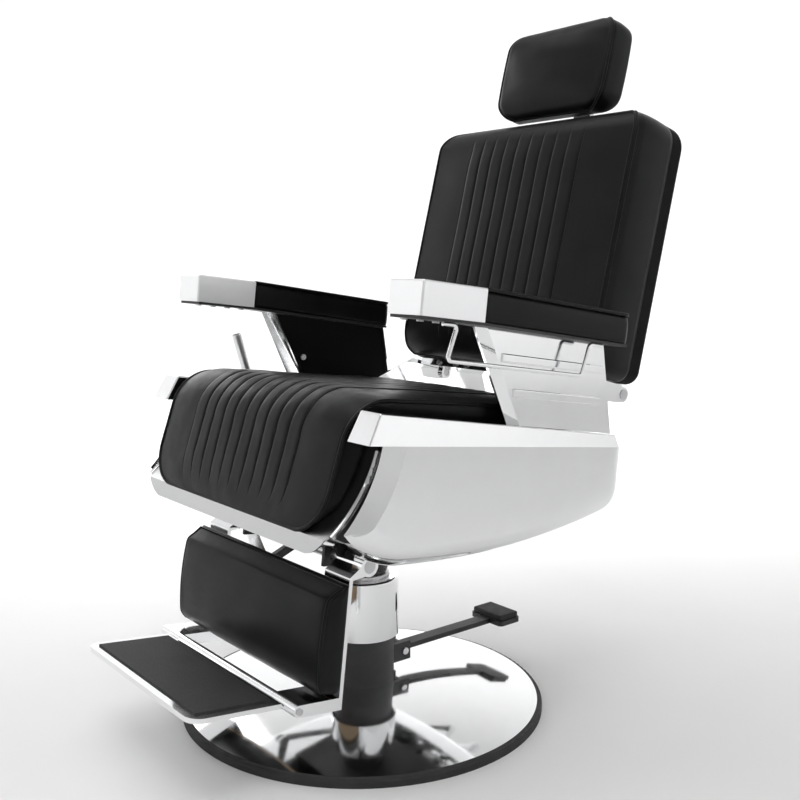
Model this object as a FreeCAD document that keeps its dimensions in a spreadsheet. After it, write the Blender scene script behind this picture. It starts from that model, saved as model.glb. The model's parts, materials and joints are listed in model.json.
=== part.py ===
# Hairdressing chair: hydraulic base, tilted seat tub, reclining back and linked leg rest.
# Millimetres. The floor is z = 0 under the column axis, the chair faces -Y, +Z is up.
import math
import os
import re

import FreeCAD
import Part
import Sketcher
from FreeCAD import Placement, Rotation, Vector

# Driving sizes: name, value, meaning
SIZES = [
    ("mount_height", 275, "height of the seat mount over the floor at the lowest lift"),
    ("seat_tilt", 6.8, "backward tilt of the whole seat, degrees"),
    ("running_gap", 0.05, "radial clearance of turning and sliding fits"),
    ("soft_gap", 0.3, "clearance round upholstery and between moving faces"),
    ("base_radius", 292, "radius of the floor plate"),
    ("base_thick", 6, "thickness of the floor plate"),
    ("ring_wide", 8, "width of the rubber edge ring"),
    ("ring_high", 13, "height of the rubber edge ring"),
    ("ring_round", 4, "edge radius of the ring and of the column sleeve"),
    ("cover_rise", 38, "height of the base cover at the column"),
    ("cover_wall", 2.5, "sheet thickness of the base cover"),
    ("cover_collar", 14, "width of the flat collar of the cover round the pump"),
    ("cover_sag", 8, "how far the middle of the cover lies under its collar"),
    ("cover_edge", 1, "how far the edge of the cover stands over the ring"),
    ("pump_radius", 52, "radius of the pump body"),
    ("flange_radius", 85, "radius of the pump flange"),
    ("flange_thick", 10, "thickness of the pump flange"),
    ("pump_top", 214, "height of the top of the pump body"),
    ("bore_radius", 28, "radius of the pump bore"),
    ("bore_floor", 30, "height of the floor of the bore"),
    ("sleeve_radius", 60, "outer radius of the chrome column sleeve"),
    ("sleeve_wall", 3, "wall of the column sleeve, also of its top"),
    ("sleeve_bottom", 118, "height of the lower end of the sleeve"),
    ("gland_radius", 44, "outer radius of the gland"),
    ("gland_high", 12, "height of the gland"),
    ("bolt_circle", 70, "radius of the circle of the pump bolts"),
    ("pump_bolt", 5, "radius of the shanks of the pump bolts"),
    ("ear_thick", 8, "thickness of the pedal ears of the pump body"),
    ("ear_gap", 16, "inner face of the pedal ears"),
    ("ear_high", 16, "half height of the pedal ears"),
    ("ear_reach", 12, "reach of the pedal ears past their pin"),
    ("ram_radius", 25, "radius of the ram"),
    ("piston_high", 20, "height of the piston head"),
    ("hub_radius", 42, "outer radius of the swivel hub"),
    ("hub_lift", 4, "gap between gland and swivel hub at the lowest lift"),
    ("hub_depth", 28, "depth of the hub bore"),
    ("bush_wall", 5, "wall of the swivel bush"),
    ("plate_half_wide", 125, "half width of the swivel mount plate"),
    ("plate_half_long", 95, "half length of the swivel mount plate"),
    ("plate_thick", 8, "thickness of the swivel mount plate"),
    ("pedal_y", 72, "distance of the pedal pin from the column axis"),
    ("pedal_z", 72, "height of the pedal pin"),
    ("pedal_pin_radius", 6, "radius of the pedal pin"),
    ("pedal_reach", 338, "reach of the pedal from the column axis"),
    ("pedal_half_wide", 40, "half width of the pedal foot"),
    ("pedal_bar_thick", 9, "thickness of the pedal bar"),
    ("pedal_pad_thick", 10, "thickness of the pedal pad"),
    ("frame_x", 110, "inner face of the frame plates"),
    ("frame_thick", 6, "thickness of the frame plates"),
    ("pan_top", 209, "height of the seat pan over the mount"),
    ("pan_thick", 3, "sheet thickness of the seat pan"),
    ("pan_half", 250, "half width of the seat pan"),
    ("wing_half", 265, "half width of the front of the seat pan, under the rims"),
    ("hem_radius", 4.5, "radius of the rolled hem of the seat pan's wings"),
    ("pan_rear", 150, "rear end of the seat pan"),
    ("tube_radius", 12.5, "radius of the cross tubes"),
    ("tube_wall", 2.5, "wall of the cross tubes"),
    ("tube_front_y", -105, "front cross tube, distance behind the mount"),
    ("tube_front_z", 180, "front cross tube, height"),
    ("tube_rear_y", 190, "rear cross tube, distance behind the mount"),
    ("tube_rear_z", 165, "rear cross tube, height"),
    ("shell_half", 302, "half width of the tub shell"),
    ("shell_wall", 2.5, "sheet thickness of the tub shell"),
    ("shell_round", 38, "radius of the lower edges of the tub shell"),
    ("shell_front_top", -179, "top of the front edge of the shell"),
    ("shell_front_low", -243, "foot of the front edge of the shell"),
    ("shell_low_z", 66, "height of the foot of the front edge"),
    ("shell_bottom", 31, "height of the lowest line of the shell"),
    ("shell_rear", 288, "rear of the shell"),
    ("shell_toe", 93, "run of the toe curve under the front of the shell"),
    ("shell_heel", 34, "run of the heel curve at the rear of the shell"),
    ("sole_rise", 58, "rise of the shell's sole from toe to heel"),
    ("shell_lip", 22, "depth and width of the bevelled front lips of the shell"),
    ("sole_gap", 156, "half width of the openings in the sole and rear of the shell"),
    ("rim_inner", 257, "inner face of the rim rails"),
    ("rim_wide", 49, "width of the rim rails"),
    ("rim_bottom", 199, "underside of the rim rails"),
    ("rim_front", -226, "front of the rim rails at the top"),
    ("rim_rake", 18, "how far the foot of the rim front leads its top"),
    ("rim_front_high", 41, "height of the rim rails at the front"),
    ("rim_rear", 254, "rear of the rim rails"),
    ("rim_rear_high", 19, "height of the rim rails at the rear"),
    ("rim_flare", 5, "how far the outer face of the rim rails leans in at the top"),
    ("rim_wall", 2.5, "wall of the rim rails"),
    ("rim_edge", 2.5, "edge radius of the rim rails"),
    ("cushion_half", 240, "half width of the seat cushion"),
    ("cushion_thick", 42, "thickness of the seat cushion at its piping"),
    ("cushion_crown", 10, "rise of the plain border over the piping"),
    ("cushion_rear", 165, "rear end of the seat cushion"),
    ("bend_y", -168.5, "centre line of the bend at the front of the cushion"),
    ("bend_radius", 70, "radius of the bend at the piping"),
    ("drop_angle", 12.2, "forward slope of the front drop, degrees"),
    ("drop_long", 131, "length of the straight front drop"),
    ("band_high", 25, "height of the front chrome band"),
    ("band_round", 60, "radius of the lower corners of the front band"),
    ("corner_round", 46, "radius of the lower front corners of the cushion"),
    ("channel_wide", 30, "width of one sewn channel"),
    ("channel_rise", 3, "rise of a channel between its seams"),
    ("arm_inner", 260, "inner face of the arms"),
    ("arm_wide", 70, "width of the arm caps"),
    ("arm_top", 415, "top of the arm caps over the mount"),
    ("cap_front", -200, "front of the arm caps"),
    ("cap_long", 113, "length of the arm caps"),
    ("cap_high", 46, "height of the arm caps"),
    ("cap_wall", 3, "wall of the arm caps"),
    ("cap_edge", 3, "edge radius of the arm caps"),
    ("pad_long", 314, "length of the arm pads"),
    ("pad_drop", 9, "fall of the arm pads from front to rear"),
    ("pad_inset", 2, "inset of the arm pads from the cap sides"),
    ("pad_crown", 2.5, "crown of the arm pads"),
    ("rail_thick", 4, "thickness of the arm rails"),
    ("panel_thick", 31, "thickness of the arm side panels"),
    ("panel_wall", 2, "sheet thickness of the arm side panels"),
    ("panel_ridge", 21, "front ridge of the side panels, distance from the arm's inner face"),
    ("panel_bevel", 16, "how far that ridge leads the bevels beside it"),
    ("panel_front_top", -43, "front of the side panels at the top"),
    ("panel_front_foot", 39, "front of the side panels at the rim"),
    ("panel_rear_top", 209, "rear of the side panels at the top"),
    ("panel_rear_foot", 248, "rear of the side panels at the rim"),
    ("panel_gap", 0.7, "shadow gap between side panel and rim"),
    ("rib_proud", 2.5, "height of the pressed ribs"),
    ("rib_high", 13, "width of the pressed ribs"),
    ("inner_thick", 5, "thickness of the black inner arm panels"),
    ("arm_bolt_y", 26, "bolt of the inner arm panels, distance behind the mount"),
    ("arm_bolt_z", 287, "bolt of the inner arm panels, height"),
    ("towel_x", 319, "towel bar, distance from the centre plane"),
    ("towel_radius", 3, "radius of the towel bar wire"),
    ("towel_front", -126, "front leg of the towel bar"),
    ("towel_rear", 143, "rear leg of the towel bar"),
    ("towel_drop", 48, "how far the towel bar hangs under the arm rail"),
    ("towel_rake", 13, "forward rake of the towel bar legs"),
    ("towel_bend", 6, "bend radius of the towel bar"),
    ("towel_foot", 26, "length of the feet of the towel bar along the arm rail"),
    ("back_y", 238, "front lower edge of the back, distance behind the mount"),
    ("back_z", 310.5, "front lower edge of the back, height"),
    ("back_lean", 7.7, "lean of the back against the seat, degrees"),
    ("back_half", 250, "half width of the back"),
    ("back_high", 448, "height of the back"),
    ("back_soft", 92, "thickness of the back cushion"),
    ("back_hard", 34, "thickness of the back shell"),
    ("back_corner", 24, "radius of the lower corners of the back"),
    ("back_top_corner", 45, "radius of the upper corners of the back"),
    ("back_crown", 9, "crown of the back cushion"),
    ("back_channel", 30.2, "width of a sewn channel of the back"),
    ("hinge_back", 114.4, "recline hinge behind the front of the back"),
    ("hinge_up", -17.3, "recline hinge above the lower edge of the back"),
    ("hinge_radius", 7, "radius of the recline hinge pins"),
    ("lug_radius", 12, "radius of the hinge lugs"),
    ("bar_high", 12, "height of the back cross bar"),
    ("bar_front", 44, "front of the back cross bar"),
    ("recline_range", 50, "recline travel, degrees"),
    ("bar_thick", 6, "thickness of the lugs and cranks of the back"),
    ("bracket_thick", 6, "thickness of the back brackets"),
    ("bracket_wide", 26, "width of the back brackets"),
    ("bracket_x", 224, "inner face of the back brackets"),
    ("bracket_top_y", 264, "front end of the bracket top, distance behind the mount"),
    ("bracket_top_z", 302, "front end of the bracket top, height"),
    ("bracket_toe_z", 254, "top of the bracket leg at the cushion"),
    ("link_crank", 90, "throw of the link cranks"),
    ("link_x", -146, "inner face of the link rod"),
    ("link_thick", 10, "thickness of the link rod"),
    ("link_pin", 6, "radius of the link pins"),
    ("strut_crank", 70, "throw of the strut crank"),
    ("strut_angle", 25.8, "slope of the strut, degrees"),
    ("strut_x", -52, "strut, distance from the centre plane"),
    ("strut_radius", 14, "radius of the strut cylinder"),
    ("strut_rod_radius", 7, "radius of the strut rod"),
    ("strut_barrel_long", 225, "length of the strut cylinder"),
    ("strut_room_long", 190, "length of the room in the strut cylinder"),
    ("strut_rod_long", 170, "length of the strut rod"),
    ("strut_pin", 5, "radius of the strut pin"),
    ("strut_play", 4.1, "play of the strut eye round its pin"),
    ("leg_y", -140, "leg rest pivot, distance behind the mount"),
    ("leg_z", 12, "leg rest pivot, height"),
    ("leg_shaft_radius", 10, "radius of the leg rest shaft"),
    ("leg_half", 200, "half width of the leg rest"),
    ("leg_arm_wide", 60, "width of the leg rest arms"),
    ("leg_arm_thick", 6, "thickness of the leg rest arms"),
    ("leg_front", -174, "front face of the leg rest arms"),
    ("leg_pad_thick", 39, "thickness of the leg rest pad"),
    ("leg_pad_top", -9, "top of the leg rest pad"),
    ("leg_pad_foot", -168, "foot of the leg rest pad"),
    ("leg_board_thick", 6, "thickness of the leg rest board"),
    ("foot_y", -240, "footplate hinge, distance behind the mount"),
    ("foot_z", -182, "footplate hinge, height"),
    ("foot_pin_radius", 5, "radius of the footplate pin"),
    ("foot_knuckle", 9, "radius of the knuckles round the footplate pin"),
    ("foot_long", 150, "length of the footplate"),
    ("foot_half", 172, "half width of the footplate"),
    ("foot_thick", 7, "thickness of the footplate"),
    ("mat_thick", 2.5, "thickness of the foot mat"),
    ("lever_x", -319, "recline lever, distance from the centre plane"),
    ("lever_y", -10, "recline lever pivot, distance behind the mount"),
    ("lever_z", 145, "recline lever pivot, height"),
    ("lever_long", 188, "length of the recline lever"),
    ("lever_radius", 9, "radius of the recline lever tube"),
    ("lever_lean", 23.3, "forward lean of the recline lever, degrees"),
    ("lever_shaft", 7, "radius of the lever shaft"),
    ("post_half", 20, "half width of the headrest post"),
    ("post_thick", 9, "thickness of the headrest post"),
    ("sleeve_low", 300, "lower end of the headrest sleeve on the back"),
    ("sleeve_long", 130, "length of the headrest sleeve"),
    ("post_plate", 4, "wall of the headrest sleeve"),
    ("head_low", 470, "lower edge of the headrest at rest"),
    ("head_high", 165, "height of the headrest"),
    ("head_half", 130, "half width of the headrest"),
    ("head_front", 16, "front of the headrest behind the front of the back"),
    ("head_thick", 66, "thickness of the headrest"),
]

# Sizes that follow from the driving ones
DERIVED = [
    ("hub_bottom", "=pump_top + gland_high + hub_lift", "underside of the swivel hub"),
    ("hub_roof", "=hub_bottom + hub_depth", "closed end of the hub bore"),
    ("back_world_y", "=back_y * cos(seat_tilt) + back_z * sin(seat_tilt)", "back frame, y"),
    ("back_world_z", "=mount_height - back_y * sin(seat_tilt) + back_z * cos(seat_tilt)",
     "back frame, z"),
    ("hinge_y", "=back_y + hinge_back * cos(back_lean) + hinge_up * sin(back_lean)",
     "recline hinge in the seat frame, y"),
    ("hinge_z", "=back_z - hinge_back * sin(back_lean) + hinge_up * cos(back_lean)",
     "recline hinge in the seat frame, z"),
    ("half_recline", "=recline_range / 2", "middle of the recline travel"),
    ("crank_y", "=link_crank * sin(half_recline)", "link crank at rest, y"),
    ("crank_z", "=0 - link_crank * cos(half_recline)", "link crank at rest, z"),
    ("link_long", "=sqrt((hinge_y - leg_y) ^ 2 + (hinge_z - leg_z) ^ 2)", "length of the link"),
    ("link_dy", "=(leg_y - hinge_y) / link_long", "direction of the link, y"),
    ("link_dz", "=(leg_z - hinge_z) / link_long", "direction of the link, z"),
    ("strut_pin_y", "=strut_crank * sin(strut_angle + half_recline)", "strut pin at rest, y"),
    ("strut_pin_z", "=0 - strut_crank * cos(strut_angle + half_recline)", "strut pin at rest, z"),
    ("strut_side", "=strut_crank * (1 + cos(half_recline)) / 2", "strut axis from the hinge"),
    ("strut_back", "=strut_crank * sin(half_recline)", "strut eye behind the hinge normal"),
    ("toe_y", "=shell_front_low + shell_toe", "lowest line of the shell"),
    ("heel_y", "=shell_rear - shell_heel", "rear end of the shell's sole"),
    ("toe_rise", "=shell_low_z - shell_bottom", "rise of the toe curve"),
    ("toe_radius", "=(shell_toe ^ 2 + toe_rise ^ 2) / (2 * toe_rise)", "radius of the toe curve"),
    ("toe_turn", "=asin((shell_toe + shell_lip) / toe_radius) / 2", "middle of the toe curve, degrees"),
    ("lip_low_z", "=shell_bottom + toe_radius - sqrt(toe_radius ^ 2 - (shell_toe + shell_lip) ^ 2)",
     "foot of the shell's lips"),
    ("mouth_half", "=shell_half - shell_lip + 0.5", "half width of the front mouth of the shell"),
    ("sole_run", "=heel_y - toe_y", "run of the sole"),
    ("sole_radius", "=(sole_run ^ 2 + sole_rise ^ 2) / (2 * sole_rise)", "radius of the sole"),
    ("sole_chord", "=sqrt(sole_run ^ 2 + sole_rise ^ 2)", "chord of the sole"),
    ("sole_sag", "=sole_radius - sqrt(sole_radius ^ 2 - sole_chord ^ 2 / 4)", "sagitta of the sole"),
    ("sole_sine", "=sole_run / sole_radius", "slope of the sole at the heel, sine"),
    ("sole_cosine", "=1 - sole_rise / sole_radius", "slope of the sole at the heel, cosine"),
    ("heel_radius", "=shell_heel / (1 - sole_sine)", "radius of the heel curve"),
    ("heel_span", "=sqrt(2 + 2 * sole_sine)", "length of the bisector of the heel curve"),
    ("heel_z", "=shell_bottom + sole_rise + sole_cosine * heel_radius", "upper end of the heel curve"),
    ("pad_front", "=cap_front + cap_long", "front of the arm pads"),
    ("pad_rear", "=pad_front + pad_long", "rear of the arm pads"),
    ("cap_bottom", "=arm_top - cap_high", "underside of the arm caps"),
    ("cushion_edge", "=pan_top + cushion_thick", "height of the seat piping"),
    ("bend_z", "=cushion_edge - bend_radius", "height of the bend axis"),
    ("bend_inner", "=bend_radius - cushion_thick", "radius of the bend on the pan"),
    ("channel_half", "=5 * channel_wide", "outermost seam of the seat"),
    ("sweep_long", "=drop_long - 1", "run of the sweep from the bend to the front band"),
    ("sweep_radius", "=(cushion_thick ^ 2 + sweep_long ^ 2) / (2 * cushion_thick)", "radius of the sweep"),
    ("sweep_turn", "=asin(sweep_long / sweep_radius) / 2", "middle of the sweep, degrees"),
]

doc = FreeCAD.newDocument("hairdressing_chair")
dims = doc.addObject("Spreadsheet::Sheet", "dims")
for row, (alias, content, note) in enumerate(SIZES + DERIVED, 1):
    dims.set(f"A{row}", note)
    dims.set(f"B{row}", str(content))
    dims.setAlias(f"B{row}", alias)
doc.recompute()
NAMES = {row[0] for row in SIZES + DERIVED}
WORD = re.compile(r"[A-Za-z_][A-Za-z_0-9]*")


def bound(text):
    """The text with each sheet name made an address in the sheet."""
    return WORD.sub(lambda hit: "dims." + hit.group() if hit.group() in NAMES else hit.group(),
                    str(text))


def size(text):
    """The number that a formula of sheet names gives."""
    return float(dims.evalExpression(bound(text)))


# Frames: origin y, origin z and backward angle of each
FRAMES = {
    "world": ("0", "0", "0"),
    "seat": ("0", "mount_height", "seat_tilt"),
    "back": ("back_world_y", "back_world_z", "seat_tilt + back_lean"),
}


def frame_placement(frame):
    y, z, angle = FRAMES[frame]
    return Placement(Vector(0, size(y), size(z)), Rotation(Vector(-1, 0, 0), size(angle)))


def place(item, frame, local=None):
    """Put an object into a frame, at a local placement if one is given."""
    item.Placement = frame_placement(frame)
    if local is not None:
        item.Placement = frame_placement(frame).multiply(local)
    elif frame != "world":
        y, z, angle = FRAMES[frame]
        item.setExpression("Placement.Base.y", bound(y))
        item.setExpression("Placement.Base.z", bound(z))
        item.setExpression("Placement.Rotation.Angle", bound(angle))


def arc(across, up):
    """A point that the outline passes on an arc between its neighbours."""
    return (across, up, "arc")


def draw(sketch, outline):
    """Draw a closed outline, or a circle, with every point held by the sheet."""
    if len(outline) == 3 and isinstance(outline[0], str):
        across, up, radius = outline
        centre = Vector(size(across), size(up), 0)
        ring = sketch.addGeometry(Part.Circle(centre, Vector(0, 0, 1), size(radius)), False)
        hold(sketch, ring, 3, across, up)
        held = sketch.addConstraint(Sketcher.Constraint("Radius", ring, size(radius)))
        sketch.setExpression(f"Constraints[{held}]", bound(radius))
        return
    corners = [point for point in outline if len(point) == 2]
    through = {}
    count = -1
    for point in outline:
        if len(point) == 2:
            count += 1
        else:
            through[count] = point
    ends = []
    for index, corner in enumerate(corners):
        following = corners[(index + 1) % len(corners)]
        first = Vector(size(corner[0]), size(corner[1]), 0)
        last = Vector(size(following[0]), size(following[1]), 0)
        if index in through:
            across, up = through[index][:2]
            middle = Vector(size(across), size(up), 0)
            edge = sketch.addGeometry(Part.Arc(first, middle, last), False)
            mark = sketch.addGeometry(Part.Point(middle), True)
            hold(sketch, mark, 1, across, up)
            sketch.addConstraint(Sketcher.Constraint("PointOnObject", mark, 1, edge))
        else:
            edge = sketch.addGeometry(Part.LineSegment(first, last), False)
        forward = sketch.getPoint(edge, 1).distanceToPoint(first) < 1e-4
        ends.append((edge, 1 if forward else 2, 2 if forward else 1))
    for index, corner in enumerate(corners):
        edge, start, stop = ends[index]
        following = ends[(index + 1) % len(corners)]
        sketch.addConstraint(Sketcher.Constraint("Coincident", edge, stop, following[0], following[1]))
        hold(sketch, edge, start, corner[0], corner[1])


def hold(sketch, geometry, position, across, up):
    for kind, text in (("DistanceX", across), ("DistanceY", up)):
        held = sketch.addConstraint(Sketcher.Constraint(kind, -1, 1, geometry, position, size(text)))
        sketch.setExpression(f"Constraints[{held}]", bound(text))


def new_body(label, frame="world"):
    body = doc.addObject("PartDesign::Body", label)
    body.Label = label
    place(body, frame)
    return body


def body_sketch(body, plane, start, outlines):
    sketch = body.newObject("Sketcher::SketchObject", body.Label + "_sketch")
    support = [item for item in body.Origin.OriginFeatures if item.Role == plane + "_Plane"][0]
    sketch.AttachmentSupport = [(support, "")]
    sketch.MapMode = "FlatFace"
    sketch.setExpression("AttachmentOffset.Base.z", bound(start))
    for outline in outlines:
        draw(sketch, outline)
    return sketch


def along(plane, start, length):
    """Sketch offset for a run from start along the positive axis across the plane."""
    return f"0 - ({start}) - ({length})" if plane == "XZ" else start


def pad(body, plane, start, length, *outlines):
    sketch = body_sketch(body, plane, along(plane, start, length), outlines)
    feature = body.newObject("PartDesign::Pad", body.Label + "_pad")
    feature.Profile = sketch
    feature.setExpression("Length", bound(length))
    return feature


def pocket(body, plane, start, length, *outlines):
    sketch = body_sketch(body, plane, along(plane, start, length), outlines)
    feature = body.newObject("PartDesign::Pocket", body.Label + "_pocket")
    feature.Profile = sketch
    feature.Reversed = True
    feature.setExpression("Length", bound(length))
    return feature


def revolve(body, outline):
    """Turn an outline of radius and height round the upright axis."""
    sketch = body_sketch(body, "XZ", "0", [outline])
    feature = body.newObject("PartDesign::Revolution", body.Label + "_turned")
    feature.Profile = sketch
    feature.ReferenceAxis = (sketch, ["V_Axis"])
    feature.Angle = 360
    return feature


def fillet(body, radius, test):
    """Round the edges of the body's last feature that pass the test."""
    doc.recompute()
    base = body.Tip
    names = [f"Edge{number}" for number, edge in enumerate(base.Shape.Edges, 1) if test(edge)]
    feature = body.newObject("PartDesign::Fillet", body.Label + "_round")
    feature.Base = (base, names)
    feature.setExpression("Radius", bound(radius))
    return feature


def mirrored(source, label):
    twin = doc.addObject("Part::Mirroring", label)
    twin.Source = source
    twin.Base = (0, 0, 0)
    twin.Normal = (1, 0, 0)
    twin.Label = label
    return twin


def cylinder(name, radius, height, frame, position, direction):
    """A cylinder from a position along a direction, both in the frame."""
    item = doc.addObject("Part::Cylinder", name)
    item.setExpression("Radius", bound(radius))
    item.setExpression("Height", bound(height))
    turn = Rotation(Vector(0, 0, 1), Vector(*direction))
    place(item, frame, Placement(Vector(*[size(text) for text in position]), turn))
    return item


def joined(label, *items):
    fused = doc.addObject("Part::MultiFuse", label)
    fused.Shapes = list(items)
    fused.Label = label
    return fused


def cut(label, base, tool):
    result = doc.addObject("Part::Cut", label)
    result.Base = base
    result.Tool = tool
    result.Label = label
    return result


def grouped(label, items):
    group = doc.addObject("Part::Compound", label)
    group.Links = list(items)
    group.Label = label
    return group


def bolt(name, frame, position, direction, shank, length, head, head_high):
    """A bolt whose head stands out along the direction and whose shank goes the other way."""
    back = [-part for part in direction]
    top = cylinder(name + "_head", head, head_high, frame, position, direction)
    stem = cylinder(name + "_shank", shank, length, frame, position, back)
    return joined(name, top, stem)


def shaped(label, shape, frame="seat"):
    """A freely formed piece."""
    item = doc.addObject("Part::Feature", label)
    item.Label = label
    item.Shape = shape
    place(item, frame)
    return item


def closed_wire(points, lift):
    """A wire through points, with a three-value point marking the middle of an arc."""
    edges = []
    corners = points + [points[0]]
    index = 0
    while index < len(corners) - 1:
        first = lift(*corners[index][:2])
        if len(corners[index + 1]) == 3:
            middle = lift(*corners[index + 1][:2])
            last = lift(*corners[index + 2][:2])
            edges.append(Part.Arc(first, middle, last).toShape())
            index += 2
        else:
            last = lift(*corners[index + 1][:2])
            edges.append(Part.makeLine(first, last))
            index += 1
    return Part.Wire(edges)


def prism(points, lift, run):
    return Part.Face(closed_wire(points, lift)).extrude(run)


def slab(points, half):
    """A side outline carried across the centre plane to a half width."""
    return prism(points, lambda y, z: Vector(-half, y, z), Vector(2 * half, 0, 0))


def box_round(half, low, high, low_round, high_round):
    """Outline of an upright panel with rounded corners: across and up."""
    slant = 1 - math.sqrt(0.5)
    return [
        (half - low_round, low),
        (half - slant * low_round, low + slant * low_round, "arc"),
        (half, low + low_round),
        (half, high - high_round),
        (half - slant * high_round, high - slant * high_round, "arc"),
        (half - high_round, high),
        (high_round - half, high),
        (slant * high_round - half, high - slant * high_round, "arc"),
        (-half, high - high_round),
        (-half, low + low_round),
        (slant * low_round - half, low + slant * low_round, "arc"),
        (low_round - half, low),
    ]


def channelled(half, thick, side, crown_edge, seam_half, crown, count, rise, base):
    """Section of a sewn cushion: flat underside, drawn-in sides, plain borders and channels."""
    step = 2 * seam_half / count
    points = [(-side, base), (side, base), (half - 0.4, thick * 0.5, "arc"), (half, thick)]
    middle = (half + seam_half) / 2
    points += [(middle, thick + crown_edge * 0.74, "arc"), (seam_half, thick + crown_edge)]
    for number in range(count):
        left = seam_half - step * (number + 1)
        centre = left + step / 2
        swell = crown * (1 - (centre / seam_half) ** 2)
        points.append((centre, thick + crown_edge + swell + rise, "arc"))
        points.append((left, thick + crown_edge + crown * (1 - (left / seam_half) ** 2)))
    points += [(-middle, thick + crown_edge * 0.74, "arc"), (-half, thick)]
    points.append((0.4 - half, thick * 0.5, "arc"))
    return points


# Base and pump
plate = new_body("base_plate")
bolt_spots = [(sx, sy) for sx in ("", "0 - ") for sy in ("", "0 - ")]
bolt_rings = [(f"{sx}bolt_circle * sqrt(0.5)", f"{sy}bolt_circle * sqrt(0.5)", "pump_bolt")
              for sx, sy in bolt_spots]
slant = "(1 - sqrt(0.5))"
pad(plate, "XY", "0", "base_thick", ("0", "0", "base_radius"), *bolt_rings)

ring = new_body("base_ring")
revolve(ring, [
    ("base_radius", "0"), ("base_radius + ring_wide", "0"),
    ("base_radius + ring_wide", "ring_high - ring_round"),
    arc(f"base_radius + ring_wide - {slant} * ring_round", f"ring_high - {slant} * ring_round"),
    ("base_radius + ring_wide - ring_round", "ring_high"), ("base_radius", "ring_high"),
])

cover = new_body("base_cover")
revolve(cover, [
    ("base_radius", "base_thick"), ("base_radius", "ring_high + cover_edge"),
    arc("base_radius * 0.62", "cover_rise - cover_sag"),
    ("pump_radius + cover_collar", "cover_rise"), ("pump_radius + soft_gap", "cover_rise"),
    ("pump_radius + soft_gap", "cover_rise - cover_wall"),
    ("pump_radius + cover_collar", "cover_rise - cover_wall"),
    arc("base_radius * 0.62", "cover_rise - cover_sag - cover_wall"),
    ("base_radius - cover_wall", "ring_high + cover_edge - cover_wall"),
    ("base_radius - cover_wall", "base_thick"),
])

pump = new_body("pump_body")
revolve(pump, [
    ("0", "base_thick"), ("flange_radius", "base_thick"),
    ("flange_radius", "base_thick + flange_thick"), ("pump_radius", "base_thick + flange_thick"),
    ("pump_radius", "pump_top"), ("bore_radius", "pump_top"), ("bore_radius", "bore_floor"),
    ("0", "bore_floor"),
])
ear = [
    ("pump_radius - ear_thick", "pedal_z - ear_high"), ("pedal_y + ear_reach", "pedal_z - ear_high"),
    ("pedal_y + ear_reach", "pedal_z + ear_high"), ("pump_radius - ear_thick", "pedal_z + ear_high"),
]
ear_hole = ("pedal_y", "pedal_z", "pedal_pin_radius")
pad(pump, "YZ", "ear_gap", "ear_thick", ear, ear_hole)
pad(pump, "YZ", "0 - ear_gap - ear_thick", "ear_thick", ear, ear_hole)
pocket(pump, "XY", "base_thick", "flange_thick", *bolt_rings)

sleeve = new_body("pump_sleeve")
revolve(sleeve, [
    ("sleeve_radius - sleeve_wall", "sleeve_bottom"), ("sleeve_radius", "sleeve_bottom"),
    ("sleeve_radius", "pump_top + sleeve_wall - ring_round"),
    arc(f"sleeve_radius - {slant} * ring_round", f"pump_top + sleeve_wall - {slant} * ring_round"),
    ("sleeve_radius - ring_round", "pump_top + sleeve_wall"),
    ("gland_radius + 1", "pump_top + sleeve_wall"),
    ("gland_radius + 1", "pump_top"), ("sleeve_radius - sleeve_wall", "pump_top"),
])

gland = new_body("pump_gland")
revolve(gland, [
    ("ram_radius + running_gap", "pump_top"), ("gland_radius", "pump_top"),
    ("gland_radius", "pump_top + gland_high - 3"), ("gland_radius - 3", "pump_top + gland_high"),
    ("ram_radius + running_gap", "pump_top + gland_high"),
])

pump_bolts = []
for number, (sx, sy) in enumerate(bolt_spots):
    spot = (f"{sx}bolt_circle * sqrt(0.5)", f"{sy}bolt_circle * sqrt(0.5)",
            "base_thick + flange_thick")
    pump_bolts.append(bolt(f"pump_bolt_{number}", "world", spot, (0, 0, 1),
                           "pump_bolt", "base_thick + flange_thick - soft_gap", "pump_bolt * 1.7",
                           "pump_bolt * 1.6"))
grouped("pump_bolts", pump_bolts)

pin = new_body("pedal_pin")
pin_half = "ear_gap + ear_thick + 3"
pad(pin, "YZ", f"0 - ({pin_half})", f"2 * ({pin_half})", ("pedal_y", "pedal_z", "pedal_pin_radius"))

ram = new_body("ram")
pad(ram, "XY", "bore_floor + 4 + piston_high",
    "hub_roof - soft_gap - bore_floor - 4 - piston_high", ("0", "0", "ram_radius"))
piston = new_body("piston_head")
pad(piston, "XY", "bore_floor + 4", "piston_high", ("0", "0", "bore_radius - running_gap"))

# Pedal
bar_low = "pedal_z - pedal_bar_thick / 2"
bar_high = "pedal_z + pedal_bar_thick / 2"
lever_bar = new_body("pedal_lever")
pad(lever_bar, "YZ", "soft_gap - ear_gap", "2 * (ear_gap - soft_gap)",
    ("pedal_y", "pedal_z", "ear_reach"))
pad(lever_bar, "YZ", "0 - ear_reach", "2 * ear_reach",
    [("pedal_y", bar_low), ("pedal_reach", bar_low), ("pedal_reach", bar_high), ("pedal_y", bar_high)])
pad(lever_bar, "XY", bar_low, "pedal_bar_thick", [
    ("0 - pedal_half_wide", "pedal_reach - 52"), ("pedal_half_wide", "pedal_reach - 52"),
    ("pedal_half_wide", "pedal_reach"), ("0 - pedal_half_wide", "pedal_reach"),
])
pocket(lever_bar, "YZ", "0 - ear_gap", "2 * ear_gap",
       ("pedal_y", "pedal_z", "pedal_pin_radius + running_gap"))
fillet(lever_bar, "8", lambda edge: edge.BoundBox.ZLength > 8 and edge.BoundBox.XLength < 0.1
       and edge.BoundBox.YLength < 0.1 and abs(edge.BoundBox.XMin) > size("pedal_half_wide") - 0.1)

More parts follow.
